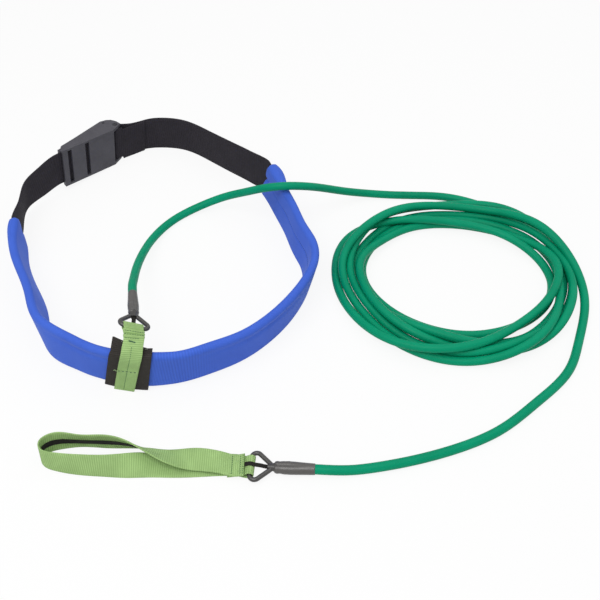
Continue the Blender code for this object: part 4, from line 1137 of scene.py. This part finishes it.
def skewed_angle(height, bearing, skew):
    """The angle about the front curve's centre of a line that leans over as it rises."""
    return math.radians(bearing + skew * min(height, 2.0 * FRONT_MID) / (2.0 * FRONT_MID))


def front_point(out, height, bearing, skew=SLIDER_SKEW):
    """A place outside the belt's line on its front curve."""
    angle = skewed_angle(height, bearing, skew)
    radius = FRONT_RADIUS + out
    x = FRONT_CENTRE[0] + radius * math.cos(angle)
    y = FRONT_CENTRE[1] + radius * math.sin(angle)
    return (x, y, height)


def sleeve_outline(wall, fin):
    """The sleeve's section, outward and up: faces, rounded corners, and the fin on top."""
    half_high = PAD_HALF_HEIGHT + SLIDE_GAP + wall
    half_thick = PAD_HALF_THICK + SLIDE_GAP + wall
    r = SLIDER_CORNER + wall
    x, y = half_thick - r, half_high - r
    corners = [arc(middle, r, start, start + 90.0, 5)[1:]
               for middle, start in (((x, y), 0.0), ((-x, y), 90.0), ((-x, -y), 180.0))]
    points = [(half_thick, h) for h in np.linspace(-y, y, 12)] + corners[0]
    lean = math.radians(FIN_LEAN)
    rise = np.array([-math.sin(lean), math.cos(lean)])
    side = np.array([math.cos(lean), math.sin(lean)]) * FIN_THICK / 2.0
    root = np.array([0.0, half_high])
    if fin > 0.0:
        for sign, parts in ((1.0, (0.0, 0.35, 0.7, 1.0)), (-1.0, (1.0, 0.7, 0.35, 0.0))):
            foot = root + sign * np.array([FIN_ROOT, 0.0])
            tip = root + fin * rise + sign * side
            points += [tuple(foot + (tip - foot) * part) for part in parts]
    else:
        points += [(out, half_high) for out in np.linspace(FIN_ROOT / 2.0, -FIN_ROOT / 2.0, 8)]
    points += corners[1] + [(-half_thick, h) for h in np.linspace(y, -y, 12)[1:]]
    return points + corners[2] + arc((x, -y), r, 270.0, 360.0, 5)[:-1]


def sleeve_point(out, up, side):
    """A place on the sleeve, which narrows upwards and stands off a little at its foot."""
    half_angle = math.degrees(SLIDER_WIDTH / 2.0 / FRONT_RADIUS)
    part_up = (up + FRONT_MID) / (2.0 * FRONT_MID)
    bearing = SLIDER_BEARING + half_angle * side * (1.0 - SLIDER_TAPER * part_up)
    flare = SLIDER_FLARE * (1.0 - min(part_up, 1.0)) if out > 0.0 else 0.0
    return front_point(out + flare, FRONT_MID + up, bearing)


def make_sleeve(material, thread):
    """A webbing sleeve round the pad, its layers sewn together into a leaning fin on top."""
    skins = []
    for wall, has_fin in ((SLIDER_WALL, True), (0.0, False)):
        rows = []
        for part in np.arange(SLIDER_STEPS + 1) / SLIDER_STEPS:
            fin = FIN_LEFT + (FIN_RIGHT - FIN_LEFT) * part if has_fin else 0.0
            rows.append([sleeve_point(out, up, 2.0 * part - 1.0)
                         for out, up in sleeve_outline(wall, fin)])
        skins.append(np.array(rows))
    outer, inner = skins
    count = outer.shape[1]
    around = lengths_round(outer[0])
    wide = np.linspace(0.0, SLIDER_WIDTH, SLIDER_STEPS + 1)
    points = np.concatenate([outer.reshape(-1, 3), inner.reshape(-1, 3)])
    start = outer.shape[0] * count
    faces = grid_faces(SLIDER_STEPS + 1, count)
    faces += [face[::-1] for face in grid_faces(SLIDER_STEPS + 1, count, start)]
    uvs = [(u, v) for v, u in grid_uvs(wide, around)]
    uvs += [uv for k in range(0, len(uvs), 4) for uv in uvs[k:k + 4][::-1]]
    for i, flip in ((0, 1), (SLIDER_STEPS, -1)):
        for j in range(count):
            m = (j + 1) % count
            near, far = i * count, start + i * count
            faces.append([near + j, far + j, far + m, near + m][::flip])
            uvs += [(around[j], 0.0), (around[j], SLIDER_WALL),
                    (around[j + 1], SLIDER_WALL), (around[j + 1], 0.0)][::flip]
    sleeve = mesh_object("slider_sleeve", points, faces, material, uvs, 40.0)
    dress(sleeve, "slider", "slider_webbing", "slider_loop")
    dress(stitches("slider_fin_thread", fin_seams(), thread), "slider", "slider_webbing")


def fin_seams():
    """Rows of stitches along the fin's outer face, and the directions away from it."""
    lean = math.radians(FIN_LEAN)
    seams = []
    for rise in FIN_SEAMS:
        face, away = [], []
        for part in np.linspace(0.04, 0.96, 24):
            side = 2.0 * part - 1.0
            top = FIN_LEFT + (FIN_RIGHT - FIN_LEFT) * part
            face.append(fin_place(part, min(rise, top - FIN_SEAM_MARGIN)))
            away.append(np.subtract(sleeve_point(math.cos(lean), math.sin(lean), side),
                                    sleeve_point(0.0, 0.0, side)))
        seams.append((face, away))
    return seams


def fin_place(part, up):
    """A place on the fin's outer face: part of the way from left to right, and up the fin."""
    lean = math.radians(FIN_LEAN)
    out = FIN_THICK / 2.0 * math.cos(lean) - up * math.sin(lean)
    height = FIN_THICK / 2.0 * math.sin(lean) + up * math.cos(lean)
    return sleeve_point(out, height + PAD_HALF_HEIGHT + SLIDE_GAP + SLIDER_WALL, 2.0 * part - 1.0)


def slider_strap_line():
    """Up the sleeve's face, over the fin to the ring's bar, round it, and a short way back."""
    out = PAD_HALF_THICK + SLIDE_GAP + SLIDER_WALL + GAP + STRAP_THICK / 2.0
    top = 2.0 * FRONT_MID
    over = [(out + x, top + z, drift) for (x, z), drift in zip(STRAP_OVER_FIN, STRAP_DRIFT)]
    face = [(out, height, 0.0) for height in np.linspace(FLOOR_GAP, over[0][1], 4, endpoint=False)]
    line = []
    for distance, height, drift in face + over:
        bearing = STRAP_BEARING + drift
        angle = skewed_angle(height, bearing, STRAP_SKEW)
        flare = SLIDER_FLARE * max(0.0, 1.0 - height / top)
        point = front_point(distance + flare, height, bearing, STRAP_SKEW)
        line.append([*point, math.sin(angle), -math.cos(angle), 0.0])
    wrap = arc((0.0, 0.0), WRAP_RADIUS, *STRAP_WRAP, 14)
    places = [*STRAP_TO_RING, *wrap, *STRAP_FROM_RING]
    line += ring_stations(RING_1_AT, RING_1_TURN, places, STRAP_ON_BAR)
    return strap_line(smooth_curve(line, GREEN_RIB / 4.0), square=False)


def make_slider_strap(material, light_thread, dark_thread):
    """The tether strap with its sewn bumps, its seams, a knot and a loose thread."""
    line = slider_strap_line()
    over_fin = 2.0 * FRONT_MID + STRAP_OVER_FIN[1][1]
    narrowing = np.clip((line.along - over_fin) / STRAP_NARROWING, 0.0, 1.0)
    widths = SLIDER_STRAP_WIDTH + (STRAP_RING_WIDTH - SLIDER_STRAP_WIDTH) * narrowing
    bumps = sum(hump(line.along, s, STRAP_BUMP_WIDTH) for s in STRAP_BUMPS)
    strap = woven_strap("tether_strap", line, widths + STRAP_BUMP_SPREAD * bumps, STRAP_THICK,
                        material, GREEN_RIB, STRAP_RIB_DEPTH, lift=STRAP_BUMP * bumps)
    dress(strap, "slider", "green_webbing", "slider_strap")

    lift = STRAP_THICK / 2.0 + THREAD_LIFT
    half = SLIDER_STRAP_WIDTH / 2.0
    dark_rows = [stitch_row(line, (low + high) / 2.0, half, BUMP_ROW_REACH,
                            lift + STRAP_BUMP_ROW_LIFT)
                 for low, high in zip(STRAP_BUMPS, STRAP_BUMPS[1:])]
    below = STRAP_BUMPS[0] - STRAP_BELOW_BUMPS
    dark_rows += [stitch_row(line, below, half, BELOW_ROW_REACH, lift),
                  stitch_run(line, STRAP_RUN_SIDE, STRAP_RUN_START,
                             STRAP_HOLE[0] - STRAP_RUN_TO_HOLE, lift - STRAP_RUN_SINK)]
    seam_row = stitch_row(line, STRAP_SEAM_AT, half, SEAM_ROW_REACH, lift)
    end_row = stitch_row(line, STRAP_END_SEAM_AT, half, END_ROW_REACH, lift)
    sides = np.linspace(half * SEAM_ROW_REACH[0], -half * SEAM_ROW_REACH[1], STRAP_ZIGZAG_POINTS)
    zigzag = [line.spot(STRAP_SEAM_AT + STRAP_ZIGZAG * (-1) ** k, side, lift)
              for k, side in enumerate(sides)]
    knot = [line.spot(STRAP_HOLE[0] + x * 0.2, STRAP_HOLE[1] + x, lift + z) for x, z in STRAP_KNOT]
    loose = [line.spot(STRAP_SEAM_AT + s, half + x, lift + z) for s, x, z in STRAP_LOOSE_END]
    for piece in (stitches("strap_dark_thread", dark_rows, dark_thread),
                  stitches("strap_seam_dark", [seam_row], dark_thread),
                  single_thread("strap_seam_light", zigzag, ZIGZAG_THREAD, light_thread),
                  stitches("strap_light_thread", [end_row], light_thread),
                  single_thread("strap_knot", knot, KNOT_THREAD, dark_thread),
                  single_thread("strap_loose_thread", loose, LOOSE_THREAD, light_thread)):
        dress(piece, "slider", "green_webbing")


def make_fraying(thread):
    """Short fibres standing out of the fin's top edge beside the strap."""
    for k, (part, up, sideways, rise) in enumerate(FRAYING):
        root = np.array(fin_place(part, up))
        middle = root + (sideways * 0.5, -0.0008, rise * 0.4)
        tip = root + (sideways, -0.0006, rise)
        fibre = single_thread(f"slider_fibre_{k + 1}", [root, middle, tip], FIBRE_THREAD, thread)
        dress(fibre, "slider", "slider_webbing")


# Rings and sleeves


def ring_path(steps=10):
    """The wire's middle: a triangle with round corners, its bar at zero and its apex ahead."""
    corners = [(0.0, -RING_HALF_BAR), (0.0, RING_HALF_BAR), (RING_APEX, 0.0)]
    path = []
    for i, corner in enumerate(corners):
        here = Vector(corner)
        before = (Vector(corners[i - 1]) - here).normalized()
        after = (Vector(corners[(i + 1) % 3]) - here).normalized()
        half = before.angle(after) / 2.0
        middle = (before + after).normalized()
        centre = here + middle * RING_CORNER / math.sin(half)
        start = here + before * RING_CORNER / math.tan(half) - centre
        end = here + after * RING_CORNER / math.tan(half) - centre
        sweep = start.angle_signed(end)
        for k in range(steps + 1):
            path.append(centre + Matrix.Rotation(-sweep * k / steps, 2) @ start)
    return [(p.x, p.y, 0.0) for p in path]


def ring_stations(at, turn, places, shift=0.0):
    """Stations of a strap round a ring's bar: places across the bar, and the bar's direction."""
    matrix = frame_matrix(at, turn)
    bar = matrix.to_3x3() @ Vector((0.0, 1.0, 0.0))
    return [[*(matrix @ Vector((x, shift, z))), *bar] for x, z in places]


def make_ring(number, at, turn, body, wire, shrunk, rubber):
    """The wire ring, its neck, and the tube's tip inside the sleeve."""
    matrix = frame_matrix(at, turn)
    loop = [tuple(matrix @ Vector(point)) for point in ring_path()]
    ring = round_skin(f"ring_wire_{number}", loop, RING_WIRE / 2.0, wire, 14, True)
    dress(ring, body, "black_rubber", f"ring_{number}")
    spots = np.linspace(RING_APEX - NECK_BACK, SLEEVE_START + NECK_IN_SLEEVE, 8)
    neck = round_skin(f"ring_neck_{number}", on_axis(spots, at, turn),
                      np.linspace(*NECK_RADII, len(spots)), wire)
    dress(neck, body, "black_rubber")
    spots = SLEEVE_END + np.linspace(TIP_BACK, GAP + TIP_OVERLAP, 6)
    tip = round_skin(f"tube_tip_{number}", on_axis(spots, at, turn), TUBE_RADIUS, rubber)
    dress(tip, body, "green_tube", f"tube_end_{number}")
    make_ring_sleeve(number, at, turn, body, shrunk)


def make_ring_sleeve(number, at, turn, body, material):
    """The shrunk sleeve over a ring's neck, ridged where the ring's legs run under it."""
    matrix = frame_matrix(at, turn)
    length = SLEEVE_END + SLEEVE_OVERLAP - SLEEVE_START
    coarse = np.linspace(SLEEVE_COARSE[0], length, SLEEVE_COARSE[1])
    spots = np.concatenate([np.linspace(0.0, *SLEEVE_FINE), coarse])
    centre = np.array(on_axis(SLEEVE_START + spots, at, turn))
    across, normal = [np.tile(matrix.to_3x3() @ Vector(axis), (len(spots), 1))
                      for axis in ((0.0, 1.0, 0.0), (0.0, 0.0, 1.0))]
    radii = SLEEVE_SCALES[number - 1] * np.interp(spots, *np.array(SLEEVE_SHAPE).T)
    angles = np.linspace(0.0, 2.0 * math.pi, SLEEVE_SIDES, endpoint=False)
    dents = sum(hump(angles, math.radians(side), SLEEVE_DENT_WIDTH) for side in (90.0, 270.0))
    shape = SLEEVE_SPREAD * np.cos(2.0 * angles) - SLEEVE_DENT * dents
    begun, done, flat = [eased((spots - start) / reach) for start, reach in
                         (SLEEVE_WRINKLES_FROM, SLEEVE_WRINKLES_TO, SLEEVE_RIDGES)]
    sections = []
    for x, radius, ridged, creased in zip(spots, radii, 1.0 - flat, begun * (1.0 - done)):
        ridge = 1.0 + ridged * shape
        wave = np.sin(x / SLEEVE_WRINKLE_PITCH + 2.0 * np.sin(angles))
        size = radius * ridge * (1.0 + SLEEVE_WRINKLE * wave * creased)
        sections.append(np.stack([size * np.cos(angles), size * np.sin(angles)], axis=1))
    sleeve = skin(f"sleeve_skin_{number}", Line(centre, across, normal, spots), sections, material)
    dress(sleeve, body, "black_rubber", f"sleeve_{number}")


def make_strand(name, at, turn, points, nodes, material):
    """A safety strand from a ring's neck to the strap on its bar."""
    line = strap_line(smooth_curve(ring_stations(at, turn, points), 0.0008))
    sections = strap_sections(len(line.along), STRAND_WIDTH, STRAND_THICK)
    piece = skin(name, line, sections, material)
    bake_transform(piece)
    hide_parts(nodes)


# The hand loop


def hand_loop_line():
    """From the sewn end round the loop to the ring's bar, round it, and a short way back."""
    line = []
    for lower, upper in HAND_LOOP_ROUTE:
        low, high = [Vector((x, y, z + LOOP_FLOOR_GAP)) for x, y, z in (lower, upper)]
        line.append([*((low + high) / 2.0), *(high - low).normalized()])
    wrap = arc((0.0, 0.0), WRAP_RADIUS, *LOOP_WRAP, 14)
    line += ring_stations(RING_2_AT, RING_2_TURN, [*wrap, *LOOP_FROM_RING])
    return strap_line(smooth_curve(line, GREEN_RIB / 4.0), square=False)


def make_hand_loop(material, tape_material, light_thread, dark_thread):
    """The loop's webbing, the tape inside it and the seams at its end."""
    line = hand_loop_line()
    left = line.along[-1] - line.along
    narrow = np.clip((LOOP_NARROW_START - left) / LOOP_NARROWING, 0.0, 1.0)
    narrow *= np.clip(left / LOOP_WIDENING, 0.0, 1.0)
    widths = STRAP_WIDTH + (STRAP_RING_WIDTH - STRAP_WIDTH) * narrow
    strap = woven_strap("hand_strap", line, widths, STRAP_THICK, material, GREEN_RIB)
    dress(strap, "handle", "green_webbing", "hand_loop")

    last = nearest(line, np.mean(HAND_LOOP_ROUTE[HAND_TAPE_LAST], axis=0))
    offset = -(STRAP_THICK / 2.0 + GAP / 2.0 + TAPE_THICK / 2.0)
    tape = woven_strap("hand_tape", line.part(slice(0, last + 1)), TAPE_WIDTH, TAPE_THICK,
                       tape_material, TAPE_RIB, TAPE_RIB_DEPTH, offset)
    dress(tape, "handle", "black_webbing", "hand_loop_tape")

    lift = STRAP_THICK / 2.0 + THREAD_LIFT
    half = STRAP_WIDTH / 2.0
    dark, light = [[stitch_row(line, s + shift, half, LOOP_SEAM_REACH, lift) for s in LOOP_SEAMS]
                   for shift in (0.0, LOOP_LIGHT_SHIFT)]
    # The end row is dark thread, and also painted shade for the shadow gap at the cut end
    dark += [stitch_row(line, LOOP_END_SEAM_AND_SHADE, half, LOOP_END_REACH, lift)]
    dress(stitches("loop_dark_thread_and_end_shade", dark, dark_thread), "handle", "green_webbing")
    dress(stitches("loop_light_thread", light, light_thread), "handle", "green_webbing")


def make_safety_strands(material):
    """The strand between the first ring's legs, and the one that holds the hand loop."""
    under = WRAP_RADIUS + STRAP_THICK / 2.0 + GAP + STRAND_THICK / 2.0
    make_strand("strand_1", RING_1_AT, RING_1_TURN,
                [*STRAND_1_START, *arc((0.0, 0.0), under, *STRAND_1_WRAP, 3)],
                "safety_strand_1", material)
    make_strand("strand_2", RING_2_AT, RING_2_TURN,
                [*STRAND_2_START, *arc((0.0, 0.0), under, *STRAND_2_WRAP, 3), *STRAND_2_END],
                "safety_strand_2", material)


def main():
    make_stage()
    weave = {name: webbing_material(name, *look) for name, look in WEAVES.items()}
    moulded = {name: moulded_material(name, *look) for name, look in MOULDED.items()}
    thread = {name: thread_material(name, colour) for name, colour in THREADS.items()}
    steel = metal_material("blued_steel", *STEEL)
    rubber = rubber_material()
    threads = (thread["light_thread"], thread["dark_thread"])

    make_cords(rubber)
    make_webbing(weave["black_webbing"])
    make_pad(cloth_material(), thread["pad_thread"])
    make_sleeve(weave["slider_webbing"], thread["black_thread"])
    make_slider_strap(weave["green_webbing"], *threads)
    make_fraying(thread["pale_thread"])
    for number, at, turn, body in ((1, RING_1_AT, RING_1_TURN, "tether_ring"),
                                   (2, RING_2_AT, RING_2_TURN, "belt")):
        make_ring(number, at, turn, body, moulded["ring_black"], moulded["shrink_black"], rubber)
    make_hand_loop(weave["green_webbing"], weave["tape_webbing"], *threads)
    make_safety_strands(weave["tape_webbing"])
    for name, material in (("buckle_frame", moulded["dark_plastic"]),
                           ("buckle_lever", moulded["dark_plastic"]),
                           ("lever_pin", steel), ("webbing_bar", steel)):
        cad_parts[name].data.materials[0] = material


main()
